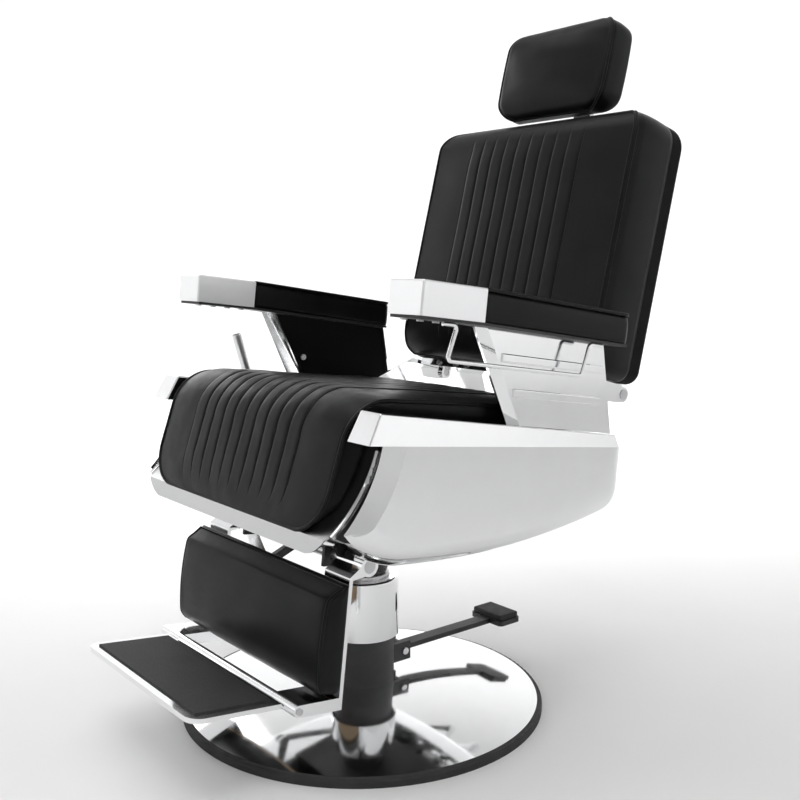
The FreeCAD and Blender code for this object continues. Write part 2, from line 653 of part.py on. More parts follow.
foot_rubber = new_body("pedal_pad")
pad(foot_rubber, "XY", bar_high, "pedal_pad_thick", [
    ("4 - pedal_half_wide", "pedal_reach - 49"), ("pedal_half_wide - 4", "pedal_reach - 49"),
    ("pedal_half_wide - 4", "pedal_reach - 3"), ("4 - pedal_half_wide", "pedal_reach - 3"),
])
fillet(foot_rubber, "3", lambda edge: edge.BoundBox.ZMin > size(bar_high) + 1
       or edge.BoundBox.ZLength > 5)

# Swivel mount
mount_plate = new_body("mount_plate", "seat")
pad(mount_plate, "XY", "0 - plate_thick", "plate_thick", [
    ("0 - plate_half_wide", "0 - plate_half_long"), ("plate_half_wide", "0 - plate_half_long"),
    ("plate_half_wide", "plate_half_long"), ("0 - plate_half_wide", "plate_half_long"),
])
above = new_body("mount_trim", "seat")
pad(above, "XY", "0", "60", ("0", "0", "plate_half_long + plate_half_wide"))
hub = cylinder("hub_block", "hub_radius", "mount_height + 10 - hub_bottom", "world",
               ("0", "0", "hub_bottom"), (0, 0, 1))
hub_bore = cylinder("hub_bore", "ram_radius + running_gap + bush_wall", "hub_depth", "world",
                    ("0", "0", "hub_bottom"), (0, 0, 1))
cut("swivel_mount", cut("mount_trimmed", joined("mount_weld", mount_plate, hub), above), hub_bore)

bush = new_body("swivel_bush")
pad(bush, "XY", "hub_bottom", "hub_depth", ("0", "0", "ram_radius + running_gap + bush_wall"),
    ("0", "0", "ram_radius + running_gap"))

# Inner frame
frame_left = new_body("frame_plate_left", "seat")
pad(frame_left, "YZ", "frame_x", "frame_thick",
    [("leg_y - 20", "leg_z - 18"), ("leg_y - 20", "leg_z + 14"), ("leg_y + 6", "leg_z + 52"),
     ("leg_y + 6", "pan_top - pan_thick"), ("pan_rear", "pan_top - pan_thick"),
     ("tube_rear_y + 20", "tube_rear_z + 20"), ("tube_rear_y + 20", "tube_rear_z - 20"),
     ("plate_half_long", "0"), ("0 - plate_half_long", "0"),
     ("leg_y + 25", "leg_z - 18")],
    ("leg_y", "leg_z", "leg_shaft_radius + running_gap"),
    ("tube_front_y", "tube_front_z", "tube_radius"),
    ("tube_rear_y", "tube_rear_z", "tube_radius"))
mirrored(frame_left, "frame_plate_right")

for side, y, z in (("front", "tube_front_y", "tube_front_z"), ("rear", "tube_rear_y", "tube_rear_z")):
    tube = new_body("cross_tube_" + side, "seat")
    pad(tube, "YZ", "shell_wall - shell_half", "2 * (shell_half - shell_wall)",
        (y, z, "tube_radius"), (y, z, "tube_radius - tube_wall"))

# Tub shell: an extruded side outline, rounded below, hollowed and opened
shell = new_body("shell_tub", "seat")
pad(shell, "YZ", "0 - shell_half", "2 * shell_half", [
    ("shell_front_top - shell_lip - 4", "rim_bottom"), ("shell_front_low - shell_lip", "lip_low_z"),
    arc("toe_y - toe_radius * sin(toe_turn)", "shell_bottom + toe_radius * (1 - cos(toe_turn))"),
    ("toe_y", "shell_bottom"),
    arc("toe_y + sole_run / 2 + sole_sag * sole_rise / sole_chord",
        "shell_bottom + sole_rise / 2 - sole_sag * sole_run / sole_chord"),
    ("heel_y", "shell_bottom + sole_rise"),
    arc("heel_y - sole_sine * heel_radius + heel_radius * (1 + sole_sine) / heel_span",
        "heel_z - heel_radius * sole_cosine / heel_span"),
    ("shell_rear", "heel_z"),
    ("shell_rear", "rim_bottom"),
])


def shell_edge(edge):
    box = edge.BoundBox
    outer = abs(abs(box.XMin) - size("shell_half")) < 0.1 and box.XLength < 0.1
    front = box.YMin < size("shell_front_low") + 1 and box.ZMax > size("rim_bottom") - 1
    top = box.ZMin > size("rim_bottom") - 1
    return outer and not front and not top


fillet(shell, "shell_round", shell_edge)
doc.recompute()
hollow = shell.newObject("PartDesign::Thickness", "seat_shell_hollow")
full = shell.Tip if shell.Tip.TypeId == "PartDesign::Fillet" else hollow.BaseFeature
lid = [f"Face{number}" for number, face in enumerate(full.Shape.Faces, 1)
       if face.BoundBox.ZMin > size("rim_bottom") - 0.1]
hollow.Base = (full, lid)
hollow.setExpression("Value", bound("shell_wall"))
hollow.Reversed = True
hollow.Join = 1
pocket(shell, "YZ", "0 - mouth_half", "2 * mouth_half", [
    ("shell_front_low - 60", "rim_bottom + 20"), ("shell_front_top + 40", "rim_bottom + 20"),
    ("shell_front_top + 22", "(rim_bottom + shell_low_z) / 2 - 10"),
    ("shell_front_low + 40", "shell_low_z + shell_wall"), ("shell_front_low", "shell_low_z + shell_wall"),
    ("shell_front_low", "shell_bottom"), ("shell_front_low - 60", "shell_bottom"),
])
pocket(shell, "XY", "shell_bottom - 20", "80", [
    ("0 - sole_gap", "leg_y - 30"), ("sole_gap", "leg_y - 30"),
    ("sole_gap", "tube_rear_y + 15"), ("0 - sole_gap", "tube_rear_y + 15"),
])
pocket(shell, "XZ", "shell_rear - 40", "60", [
    ("0 - sole_gap", "rim_bottom - 74"), ("sole_gap", "rim_bottom - 74"),
    ("sole_gap", "rim_bottom - 1"), ("0 - sole_gap", "rim_bottom - 1"),
])
pocket(shell, "YZ", "0 - shell_half - 5", "30", ("lever_y", "lever_z", "lever_shaft + running_gap"))

# Bevelled front lips of the shell, along a bowed front edge
front_top = (size("shell_front_top"), size("rim_bottom"))
front_low = (size("shell_front_low"), size("shell_low_z"))
front_bow = ((front_top[0] + front_low[0]) / 2 + 9, (front_top[1] + front_low[1]) / 2 - 10)
lip = size("shell_lip")
lip_deep = size("shell_wall") * math.sqrt(2)
ahead = front_low[0] - 4 * lip
lip_strip = [front_top, front_bow + ("arc",), front_low, (front_low[0] + lip_deep, front_low[1]),
             (front_bow[0] + lip_deep, front_bow[1], "arc"), (front_top[0] + lip_deep, front_top[1])]
lip_room = [front_top, front_bow + ("arc",), front_low, (front_low[0], 0), (ahead, 0),
            (ahead, front_top[1] + lip), (front_top[0], front_top[1] + lip)]


def bevelled(outline, over):
    """A side outline carried inward and forward at 45 degrees from the shell's side."""
    side = size("shell_half") + over
    return prism(outline, lambda y, z: Vector(side, y + over, z), Vector(-1, -1, 0) * (lip + 2 * over))


lip_left = shaped("shell_lip_left", bevelled(lip_strip, 0).common(full.Shape))
lip_cut = shaped("shell_lip_cut", bevelled(lip_room, 1))
lip_cuts = joined("shell_lip_cuts", lip_cut, mirrored(lip_cut, "shell_lip_cut_twin"))
joined("seat_shell", cut("shell_opened", shell, lip_cuts), lip_left, mirrored(lip_left, "shell_lip_right"))


def rim_top(y):
    """Height of the rim's sloped top at a distance behind the mount."""
    return (f"(rim_bottom + rim_front_high - (rim_front_high - rim_rear_high) "
            f"* (({y}) - rim_front) / (rim_rear - rim_front))")


# Rim rails
rim = new_body("rim_left", "seat")
pad(rim, "YZ", "rim_inner", "rim_wide", [
    ("rim_front - rim_rake", "rim_bottom"), ("rim_rear + 2", "rim_bottom"),
    ("rim_rear - 8", "rim_bottom + rim_rear_high"), ("rim_front", "rim_bottom + rim_front_high"),
])
pocket(rim, "XZ", "rim_front - rim_rake - 5", "rim_rear - rim_front + rim_rake + 10", [
    ("rim_inner + rim_wide", "rim_bottom"), ("rim_inner + rim_wide + 5", "rim_bottom"),
    ("rim_inner + rim_wide + 5", "rim_bottom + 2 * rim_front_high"),
    ("rim_inner + rim_wide - 2 * rim_flare", "rim_bottom + 2 * rim_front_high"),
])
fillet(rim, "rim_edge", lambda edge: edge.BoundBox.ZMax > size("rim_bottom") + 1)
pocket(rim, "YZ", "rim_inner + rim_wall", "rim_wide - 2 * rim_wall - rim_flare", [
    ("rim_front - rim_rake + 8", "rim_bottom"), ("rim_rear - 10", "rim_bottom"),
    ("rim_rear - 14", "rim_bottom + rim_rear_high - rim_wall - 1"),
    ("rim_front + 6", "rim_bottom + rim_front_high - rim_wall - 1"),
])
mirrored(rim, "rim_right")
rear_rim = new_body("rim_rear", "seat")
pad(rear_rim, "YZ", "0 - rim_inner", "2 * rim_inner", [
    ("shell_rear - 34", "rim_bottom"), ("shell_rear + 3", "rim_bottom"),
    ("shell_rear + 3", "rim_bottom + rim_rear_high - 6"),
    arc("shell_rear + 1", "rim_bottom + rim_rear_high - 2"),
    ("shell_rear - 4", "rim_bottom + rim_rear_high - 1"),
    ("shell_rear - 34", "rim_bottom + rim_rear_high - 1"),
])
pocket(rear_rim, "YZ", "rim_wall - rim_inner", "2 * (rim_inner - rim_wall)", [
    ("shell_rear - 31", "rim_bottom"), ("shell_rear - 3", "rim_bottom"),
    ("shell_rear - 3", "rim_bottom + rim_rear_high - 6"),
    ("shell_rear - 31", "rim_bottom + rim_rear_high - 6"),
])


def drop(radius, down):
    """Point at a radius from the bend axis and a distance down the front drop."""
    return (f"bend_y - ({radius}) * cos(drop_angle) - ({down}) * sin(drop_angle)",
            f"bend_z + ({radius}) * sin(drop_angle) - ({down}) * cos(drop_angle)")


def bend(radius):
    """Middle of the bend at a radius from its axis."""
    return arc(f"bend_y - ({radius}) * sin(45 - drop_angle / 2)",
               f"bend_z + ({radius}) * cos(45 - drop_angle / 2)")


def sweep(inside):
    """Middle of the sweep of the pan's front, a distance inside its outer face."""
    return arc(*drop(f"bend_inner + sweep_radius - (sweep_radius + {inside}) * cos(sweep_turn)",
                     f"(sweep_radius + {inside}) * sin(sweep_turn)"))


# Seat pan: sheet under the cushion, bent down at the front and swept out to a band
pan = new_body("pan_sheet", "seat")
pad(pan, "YZ", "0 - wing_half", "2 * wing_half", [
    ("pan_rear", "pan_top"), ("bend_y", "pan_top"), bend("bend_inner"), drop("bend_inner", "0"),
    sweep("0"), drop("bend_radius", "sweep_long"),
    drop("bend_radius - 4", "drop_long + band_high - 1"),
    drop("bend_radius - 7", "drop_long + band_high - 1"),
    drop("bend_radius - 3", "drop_long + 1.2"), sweep("pan_thick"), drop("bend_inner - pan_thick", "0"),
    bend("bend_inner - pan_thick"), ("bend_y", "pan_top - pan_thick"),
    ("pan_rear", "pan_top - pan_thick"),
])
pad(pan, "XY", "pan_top - pan_thick", "pan_thick", [
    ("6 - bracket_x", "pan_rear - 2"), ("bracket_x - 6", "pan_rear - 2"),
    ("bracket_x - 6", "shell_rear - 35"), ("6 - bracket_x", "shell_rear - 35"),
])
band_low = drop("bend_radius - 4", "drop_long + band_high")[1]
band_ahead = drop("bend_radius + 30", "drop_long")[0]
for side in ("", "0 - "):
    pocket(pan, "XZ", band_ahead, f"pan_rear + 5 - ({band_ahead})", [
        (f"{side}(pan_half)", "rim_bottom - 5"), (f"{side}(wing_half + 5)", "rim_bottom - 5"),
        (f"{side}(wing_half + 5)", "pan_top + 5"), (f"{side}(pan_half)", "pan_top + 5"),
    ])
    pocket(pan, "XZ", band_ahead, "band_round * 2", [
        (f"{side}(wing_half + 5)", f"{band_low} + band_round"),
        (f"{side}(wing_half)", f"{band_low} + band_round"),
        arc(f"{side}(wing_half - band_round * {slant})", f"{band_low} + band_round * {slant}"),
        (f"{side}(wing_half - band_round)", band_low),
        (f"{side}(wing_half - band_round)", f"{band_low} - 5"),
        (f"{side}(wing_half + 5)", f"{band_low} - 5"),
    ])

# Rolled hem down the edge of each wing
slope = math.radians(size("drop_angle"))
down = Vector(0, -math.sin(slope), -math.cos(slope))
hem_x = size("wing_half - hem_radius + 1")
hem_start = Vector(hem_x, *[size(spot) for spot in drop("bend_inner - pan_thick / 2", "0")])
hem_centre = Vector(hem_x, *[size(spot) for spot in drop("bend_inner + sweep_radius", "0")])
hem_ring = Part.Face(Part.Wire(Part.makeCircle(size("hem_radius"), hem_start, down)))
hem = shaped("pan_hem_left", hem_ring.revolve(hem_centre, Vector(-1, 0, 0), size("1.9 * sweep_turn")))
joined("seat_pan", pan, hem, mirrored(hem, "pan_hem_right"))

# Seat cushion: one sewn section carried over the bend, its lower corners rounded
thick = size("cushion_thick")
gap = size("soft_gap")
section = channelled(size("cushion_half"), thick, size("cushion_half") - 7, size("cushion_crown"),
                     size("channel_half"), 3, 10, size("channel_rise"), gap)
rear = size("cushion_rear")
floor_z = size("pan_top")
profile = closed_wire(section, lambda x, h: Vector(x, rear, floor_z + h))
out_top = Vector(0, size("bend_y"), size("cushion_edge"))
out_mid = Vector(0, *[size(text) for text in bend("bend_radius")[:2]])
out_low = Vector(0, *[size(text) for text in drop("bend_radius", "0")])
out_end = Vector(0, *[size(text) for text in drop("bend_radius", "drop_long")])
spine = Part.Wire([
    Part.makeLine(Vector(0, rear, size("cushion_edge")), out_top),
    Part.Arc(out_top, out_mid, out_low).toShape(),
    Part.makeLine(out_low, out_end),
])
cushion = spine.makePipeShell([profile], True, False)
out = Vector(0, -math.cos(slope), math.sin(slope))
front_view = box_round(size("cushion_half") + 5, 0, 700, size("corner_round"), 1)
window = prism(front_view, lambda x, h: out_end + Vector(x, 0, 0) - down * h + out * 60, out * -700)
side_view = [drop("bend_radius + 40", "sweep_long - soft_gap"),
             drop("bend_radius", "sweep_long - soft_gap"), sweep("0 - 2 * soft_gap"),
             drop("bend_inner + soft_gap", "0"), drop("bend_inner - 500", "0"),
             drop("bend_inner - 500", "0 - 400"), drop("bend_radius + 40", "0 - 400")]
side_cut = slab([(size(spot[0]), size(spot[1])) + tuple(spot[2:]) for spot in side_view],
                size("cushion_half") * 1.2)
shaped("seat_cushion", cushion.common(window).common(side_cut))

# Arms
cap = new_body("arm_cap_left", "seat")
pad(cap, "YZ", "arm_inner", "arm_wide", [
    ("cap_front", "cap_bottom"), ("cap_front + cap_long", "cap_bottom"),
    ("cap_front + cap_long", "arm_top"), ("cap_front", "arm_top"),
])
fillet(cap, "cap_edge", lambda edge: edge.BoundBox.YMin < size("cap_front + cap_long") - 1
       and edge.BoundBox.ZMax > size("cap_bottom") + 1)
pocket(cap, "XY", "cap_bottom", "cap_high - cap_wall", [
    ("arm_inner + cap_wall", "cap_front + cap_wall"),
    ("arm_inner + arm_wide - cap_wall", "cap_front + cap_wall"),
    ("arm_inner + arm_wide - cap_wall", "cap_front + cap_long - cap_wall"),
    ("arm_inner + cap_wall", "cap_front + cap_long - cap_wall"),
])
mirrored(cap, "arm_cap_right")


def rail_top(y):
    """Height of the arm rail under the pad at a distance behind the mount."""
    return f"(cap_bottom - pad_drop * (({y}) - pad_front) / pad_long)"


rail = new_body("arm_rail_left", "seat")
screw_spots = ["cap_front + 14", "cap_front + 42", "cap_front + 70", "cap_front + 98"]
screw_x = "arm_inner + 20"
pad(rail, "YZ", "arm_inner + 2", "arm_wide - 4", [
    ("cap_front + 5", "cap_bottom - rail_thick"), ("pad_front", "cap_bottom - rail_thick"),
    ("pad_rear - 8", rail_top("pad_rear - 8") + " - rail_thick"),
    ("pad_rear - 8", rail_top("pad_rear - 8")),
    ("pad_front", "cap_bottom"), ("cap_front + 5", "cap_bottom"),
])
pocket(rail, "XY", "cap_bottom - rail_thick - 2", "rail_thick + 4",
       *[(screw_x, spot, "2.5") for spot in screw_spots])
mirrored(rail, "arm_rail_right")

pad_low = size("arm_inner + pad_inset")
pad_high = size("arm_inner + arm_wide - pad_inset")
pad_thick = size("cap_high + 1") - gap


def pad_section(y):
    """Section of an arm pad: flat underside, drawn-in sides and crowned top."""
    base = size(rail_top("0")) - size("pad_drop") * y / size("pad_long") + gap
    top = base + pad_thick
    crown = size("pad_crown")
    middle = (pad_low + pad_high) / 2
    outline = [
        (pad_low + 2, base), (pad_high - 2, base), (pad_high - 0.3, base + pad_thick * 0.4, "arc"),
        (pad_high, top - crown - 7), (pad_high - 1.8, top - crown - 1.6, "arc"),
        (pad_high - 8, top - crown), (middle, top, "arc"), (pad_low + 8, top - crown),
        (pad_low + 1.8, top - crown - 1.6, "arc"), (pad_low, top - crown - 7),
        (pad_low + 0.3, base + pad_thick * 0.4, "arc"),
    ]
    return closed_wire(outline, lambda x, z: Vector(x, y, z))


arm_pad = Part.makeLoft([pad_section(size("pad_front") + gap), pad_section(size("pad_rear"))], True, True)
arm_pad_left = shaped("arm_pad_left", arm_pad)
mirrored(arm_pad_left, "arm_pad_right")


def panel_outline(inset, lower, ahead="0"):
    """Outline of the arm side panel, drawn in all round, its front moved ahead."""
    return [
        (f"panel_front_top + 1.9 * ({inset}) - {ahead}",
         rail_top("panel_front_top") + f" - rail_thick - ({inset})"),
        (f"panel_front_foot + 1.0 * ({inset}) - {ahead}",
         rim_top("panel_front_foot") + f" + panel_gap + ({lower})"),
        (f"panel_rear_foot - 1.0 * ({inset})", rim_top("panel_rear_foot") + f" + panel_gap + ({lower})"),
        (f"panel_rear_top - 1.3 * ({inset})",
         rail_top("panel_rear_top") + f" - rail_thick - ({inset})"),
    ]


def panel_front(z):
    """Front edge of the side panel at a height."""
    top = rail_top("panel_front_top") + " - rail_thick"
    foot = rim_top("panel_front_foot")
    return (f"(panel_front_foot + (panel_front_top - panel_front_foot) * (({z}) - {foot}) "
            f"/ ({top} - {foot}))")


panel = new_body("panel_sheet", "seat")
pad(panel, "YZ", "arm_inner", "panel_thick", panel_outline("0", "0", "panel_bevel"))
pocket(panel, "YZ", "arm_inner", "panel_thick - panel_wall", panel_outline("panel_wall", "panel_wall"))
for rib in ("arm_top - 91", "arm_top - 140"):
    front = panel_front(rib) + " + 8"
    back = "panel_rear_top + 2"
    pad(panel, "YZ", "arm_inner + panel_thick", "rib_proud", [
        (front, f"{rib} - rib_high / 2"), (back, f"{rib} - 6 - rib_high / 2"),
        (back, f"{rib} - 6 + rib_high / 2"), (front, f"{rib} + rib_high / 2"),
    ])
    doc.recompute()
doc.recompute()
fillet(panel, "rib_proud * 0.9", lambda edge: edge.BoundBox.XMin > size("arm_inner + panel_thick") + 1
       and edge.BoundBox.XLength < 0.1)

# Front edge of the panel: two bevels that meet in a ridge
edge_top, edge_foot = [Vector(0, size(y), size(z)) for y, z in panel_outline("0", "0")[:2]]
edge_run = edge_top - edge_foot
ridge_x = size("arm_inner + panel_ridge")
face_x = size("arm_inner + panel_thick")
inner_x = size("arm_inner")
bevel = size("panel_bevel")
inner_fall = bevel / (ridge_x - inner_x)
outer_fall = bevel / (face_x - ridge_x)
roof = [(inner_x - bevel, bevel * inner_fall), (ridge_x, -bevel), (face_x + bevel, bevel * outer_fall),
        (face_x + bevel, -4 * bevel), (inner_x - bevel, -4 * bevel)]
below = edge_foot - edge_run
bevels = shaped("panel_bevels", prism(roof, lambda x, y: below + Vector(x, y, 0), edge_run * 3))
arm_panel = cut("arm_panel_left", panel, bevels)
mirrored(arm_panel, "arm_panel_right")

inner = new_body("arm_inner_left", "seat")
inner_inset = "panel_wall + soft_gap"
pad(inner, "YZ", "arm_inner", "inner_thick", panel_outline(inner_inset, inner_inset),
    ("arm_bolt_y", "arm_bolt_z", "4"))
mirrored(inner, "arm_inner_right")

arm_bolts = []
for side, name in ((1, "left"), (-1, "right")):
    sign = "" if side > 0 else "0 - "
    arm_bolts.append(bolt(f"arm_bolt_{name}", "seat", (f"{sign}arm_inner", "arm_bolt_y", "arm_bolt_z"),
                          (-side, 0, 0), "4", "10", "5.5", "3"))
    for number, spot in enumerate(screw_spots):
        arm_bolts.append(bolt(f"arm_screw_{name}_{number}", "seat",
                              (f"{sign}({screw_x})", spot, "cap_bottom - rail_thick"), (0, 0, -1),
                              "2.5", "rail_thick", "5", "2.5"))
grouped("arm_bolts", arm_bolts)


def bent_rod(points, radius, bend_radius):
    """A round rod through points with rounded bends."""
    edges = []
    start = points[0]
    for before, corner, after in zip(points, points[1:], points[2:]):
        arrive = (corner - before).normalize()
        leave = (after - corner).normalize()
        reach = bend_radius * math.tan(arrive.getAngle(leave) / 2)
        first = corner - arrive * reach
        last = corner + leave * reach
        inward = (leave - arrive).normalize()
        middle = corner + inward * (math.hypot(reach, bend_radius) - bend_radius)
        edges.append(Part.makeLine(start, first))
        edges.append(Part.Arc(first, middle, last).toShape())
        start = last
    edges.append(Part.makeLine(start, points[-1]))
    ring_wire = Part.Wire(Part.makeCircle(radius, points[0], points[1] - points[0]))
    return Part.Wire(edges).makePipeShell([ring_wire], True, True)


# Towel bar of the left arm
wire = size("towel_radius")
bar_x = size("towel_x")
foot = size("towel_foot")
front_y = size("towel_front")
rear_y = size("towel_rear")
front_z = size("cap_bottom - rail_thick") - wire
rear_z = size(rail_top("towel_rear") + " - rail_thick") - wire
end_z = size(rail_top("towel_rear + towel_foot") + " - rail_thick") - wire
hang = size("towel_drop")
rake = size("towel_rake")
towel = bent_rod([
    Vector(bar_x, front_y - foot, front_z), Vector(bar_x, front_y, front_z),
    Vector(bar_x, front_y - rake, front_z - hang), Vector(bar_x, rear_y - rake, rear_z - hang),
    Vector(bar_x, rear_y, rear_z), Vector(bar_x, rear_y + foot, end_z),
], wire, size("towel_bend"))
shaped("towel_bar", towel)

# Back brackets on the rear cross tube
half_bar = "bracket_wide / 2"
leg_front_line = "tube_rear_y - 22"
leg_rear_line = "tube_rear_y + 24"
bracket = new_body("back_bracket_left", "seat")
pad(bracket, "YZ", "bracket_x", "bracket_thick", [
    (leg_front_line, "tube_rear_z - 20"), (leg_rear_line, "tube_rear_z - 20"),
    (leg_rear_line, "tube_rear_z + 68"), ("bracket_top_y - 4", f"hinge_z - {half_bar} - 5"),
    ("bracket_top_y + 16", f"hinge_z - {half_bar} + 3"), ("hinge_y - 20", f"hinge_z - {half_bar} - 0.5"),
    ("hinge_y", f"hinge_z - {half_bar}"),
    arc(f"hinge_y + {half_bar}", "hinge_z"),
    ("hinge_y", f"hinge_z + {half_bar}"), ("bracket_top_y + 30", "bracket_top_z - 3"),
    ("bracket_top_y", "bracket_top_z"), (leg_front_line, "bracket_toe_z"),
], ("hinge_y", "hinge_z", "hinge_radius + running_gap"), ("tube_rear_y", "tube_rear_z", "tube_radius"))
mirrored(bracket, "back_bracket_right")
collar = new_body("bracket_collar", "seat")
pad(collar, "YZ", "bracket_x + bracket_thick", "10", ("tube_rear_y", "tube_rear_z", "tube_radius + 6"),
    ("tube_rear_y", "tube_rear_z", "tube_radius"))
grouped("bracket_collars", [collar, mirrored(collar, "bracket_collar_twin")])

# Clips under the lower front corners of the shell
clip = new_body("shell_clip", "seat")


def toe_skin(run):
    """Point just under the toe curve, a run behind the foot of the front edge."""
    return (f"shell_front_low + {run}", f"shell_bottom + toe_radius - soft_gap - "
            f"sqrt(toe_radius ^ 2 - (shell_toe - {run}) ^ 2)")


pad(clip, "YZ", "pan_half + 1", "7", [
    toe_skin("3"), arc(*toe_skin("15")), toe_skin("28"),
    ("shell_front_low + 28", toe_skin("28")[1] + " - 8"),
    ("shell_front_low + 4", toe_skin("15")[1] + " - 8"),
    ("shell_front_low - 3", toe_skin("3")[1] + " - 3"),
])
pad(clip, "YZ", "pan_half + 8", "3", ("shell_front_low + 13", toe_skin("15")[1] + " - 4", "4.5"))
grouped("shell_clips", [clip, mirrored(clip, "shell_clip_twin")])

# Recline strut: cylinder on the rear cross tube, rod to the crank of the back
axis_y = "0 - cos(strut_angle)"
axis_z = "0 - sin(strut_angle)"


def on_strut(distance, aside="0"):
    """Point on the strut axis, measured from the foot of the hinge normal."""
    return (f"hinge_y + (strut_side - ({aside})) * sin(strut_angle) - ({distance}) * cos(strut_angle)",
            f"hinge_z - (strut_side - ({aside})) * cos(strut_angle) - ({distance}) * sin(strut_angle)")


strut_dir = (0, size(axis_y), size(axis_z))
barrel = cylinder("strut_barrel", "strut_radius", "strut_barrel_long", "seat",
                  ("strut_x",) + on_strut("60"), strut_dir)
ear_plate = new_body("strut_ear", "seat")
ear_foot = "hinge_z - strut_side / cos(strut_angle) - (hinge_y - tube_rear_y) * tan(strut_angle)"
pad(ear_plate, "YZ", "strut_x - 5", "10", [
    ("tube_rear_y - 17", "tube_rear_z"), ("tube_rear_y - 17", f"{ear_foot} + 4"),
    ("tube_rear_y + 17", f"{ear_foot} + 4"), ("tube_rear_y + 17", "tube_rear_z"),
])
ear_ring = new_body("strut_ring", "seat")
pad(ear_ring, "YZ", "strut_x - 5", "10", ("tube_rear_y", "tube_rear_z", "tube_radius + 6"))
guide = cylinder("strut_guide", "strut_rod_radius + running_gap", "20", "seat",
                 ("strut_x",) + on_strut("55"), strut_dir)
cavity = cylinder("strut_cavity", "strut_radius - 3", "strut_room_long", "seat",
                  ("strut_x",) + on_strut("70"), strut_dir)
tube_room = cylinder("strut_tube_room", "tube_radius", "40", "seat",
                     ("strut_x - 20", "tube_rear_y", "tube_rear_z"), (1, 0, 0))
cut("strut_cylinder", joined("strut_body", barrel, ear_plate, ear_ring),
    joined("strut_room", guide, cavity, tube_room))

rod = cylinder("strut_stem", "strut_rod_radius", "strut_rod_long", "seat",
               ("strut_x",) + on_strut("0 - strut_back"), strut_dir)
eye = new_body("strut_eye", "seat")
pad(eye, "YZ", "strut_x - 5", "10", on_strut("0 - strut_back") + ("strut_pin + strut_play + 5",))
eye_room = cylinder("strut_eye_room", "strut_pin + strut_play", "40", "seat",
                    ("strut_x - 20",) + on_strut("0 - strut_back"), (1, 0, 0))
cut("strut_rod", joined("strut_rod_body", rod, eye), eye_room)

# Cross bar of the back: bar, hinge lugs and cranks, one weldment
bar_bolts = ("0 - 165", "0 - 118", "0 - 88", "88", "118", "165")
bar = new_body("bar_flat", "back")
lug_start = "bracket_x - soft_gap - bar_thick"
pad(bar, "YZ", f"0 - ({lug_start}) - 1", f"2 * ({lug_start}) + 2", [
    ("bar_front", "0 - soft_gap - bar_high"), ("back_soft + back_hard - 4", "0 - soft_gap - bar_high"),
    ("back_soft + back_hard - 4", "0 - soft_gap"), ("bar_front", "0 - soft_gap"),
])
pocket(bar, "XZ", "bar_front", "14",
       *[(spot, "0 - soft_gap - bar_high / 2", "2.5") for spot in bar_bolts])
lug = new_body("bar_lug", "back")
pad(lug, "YZ", lug_start, "bar_thick", ("hinge_back", "hinge_up", "lug_radius"),
    ("hinge_back", "hinge_up", "hinge_radius"))
lug_twin = mirrored(lug, "bar_lug_twin")


def crank_point(y, z):
    """Hinge plus an offset of the seat frame, in the frame of the back."""
    return (f"hinge_back + ({y}) * cos(back_lean) - ({z}) * sin(back_lean)",
            f"hinge_up + ({y}) * sin(back_lean) + ({z}) * cos(back_lean)")


link_spot = crank_point("crank_y", "crank_z")
strut_spot = crank_point("strut_pin_y", "strut_pin_z")
root = [("bar_front + 16", "0 - soft_gap - 2"), ("bar_front + 16", "0 - soft_gap - bar_high")]
link_plate = new_body("link_crank_plate", "back")
pad(link_plate, "YZ", "link_x + link_thick + 2", "bar_thick", root + [
    (link_spot[0] + " - 10", link_spot[1] + " - 8"), (link_spot[0] + " + 9", link_spot[1] + " + 8"),
    ("back_soft + back_hard - 4", "0 - soft_gap - 2"),
])
link_boss = new_body("link_crank_boss", "back")
pad(link_boss, "YZ", "link_x + link_thick + 2", "bar_thick", link_spot + ("12",))
link_stub = new_body("link_crank_stub", "back")
pad(link_stub, "YZ", "link_x - 2", "link_thick + 4 + bar_thick", link_spot + ("link_pin",))
strut_plate = new_body("strut_crank_plate", "back")
pad(strut_plate, "YZ", "strut_x + 8", "bar_thick", root + [
    (strut_spot[0] + " - 8", strut_spot[1] + " - 9"), (strut_spot[0] + " + 5", strut_spot[1] + " + 9"),
    ("back_soft + back_hard - 4", "0 - soft_gap - 2"),
])
strut_boss = new_body("strut_crank_boss", "back")
pad(strut_boss, "YZ", "strut_x + 8", "bar_thick", strut_spot + ("10.5",))
strut_stub = new_body("strut_crank_stub", "back")
pad(strut_stub, "YZ", "strut_x - 8", "16 + bar_thick", strut_spot + ("strut_pin",))
joined("back_crossbar", bar, lug, lug_twin, link_plate, link_boss, link_stub,
       strut_plate, strut_boss, strut_stub)

hinge_pins = []
for side, name in ((1, "left"), (-1, "right")):
    sign = "" if side > 0 else "0 - "
    hinge_pins.append(bolt(f"hinge_pin_{name}", "seat",
                           (f"{sign}(bracket_x + bracket_thick + soft_gap)", "hinge_y", "hinge_z"),
                           (side, 0, 0), "hinge_radius", "bracket_thick + 2 * soft_gap + bar_thick - 1",
                           "hinge_radius + 1.5", "1"))
grouped("hinge_pins", hinge_pins)

# Back shell and cushion
hard = new_body("back_shell", "back")
soft_line = "back_soft + soft_gap"


def rounded_panel(half, low, high, low_round, high_round):
    """Sheet-held outline of an upright panel with rounded corners."""
    slant = "(1 - sqrt(0.5))"
    points = []
    for side in ("", "0 - "):
        part = [
            (f"{side}({half} - {low_round})", low),
            arc(f"{side}({half} - {slant} * {low_round})", f"{low} + {slant} * {low_round}"),
            (f"{side}({half})", f"{low} + {low_round}"),
            (f"{side}({half})", f"{high} - {high_round}"),
            arc(f"{side}({half} - {slant} * {high_round})", f"{high} - {slant} * {high_round}"),
            (f"{side}({half} - {high_round})", high),
        ]
        points += part if side == "" else part[::-1]
    return points


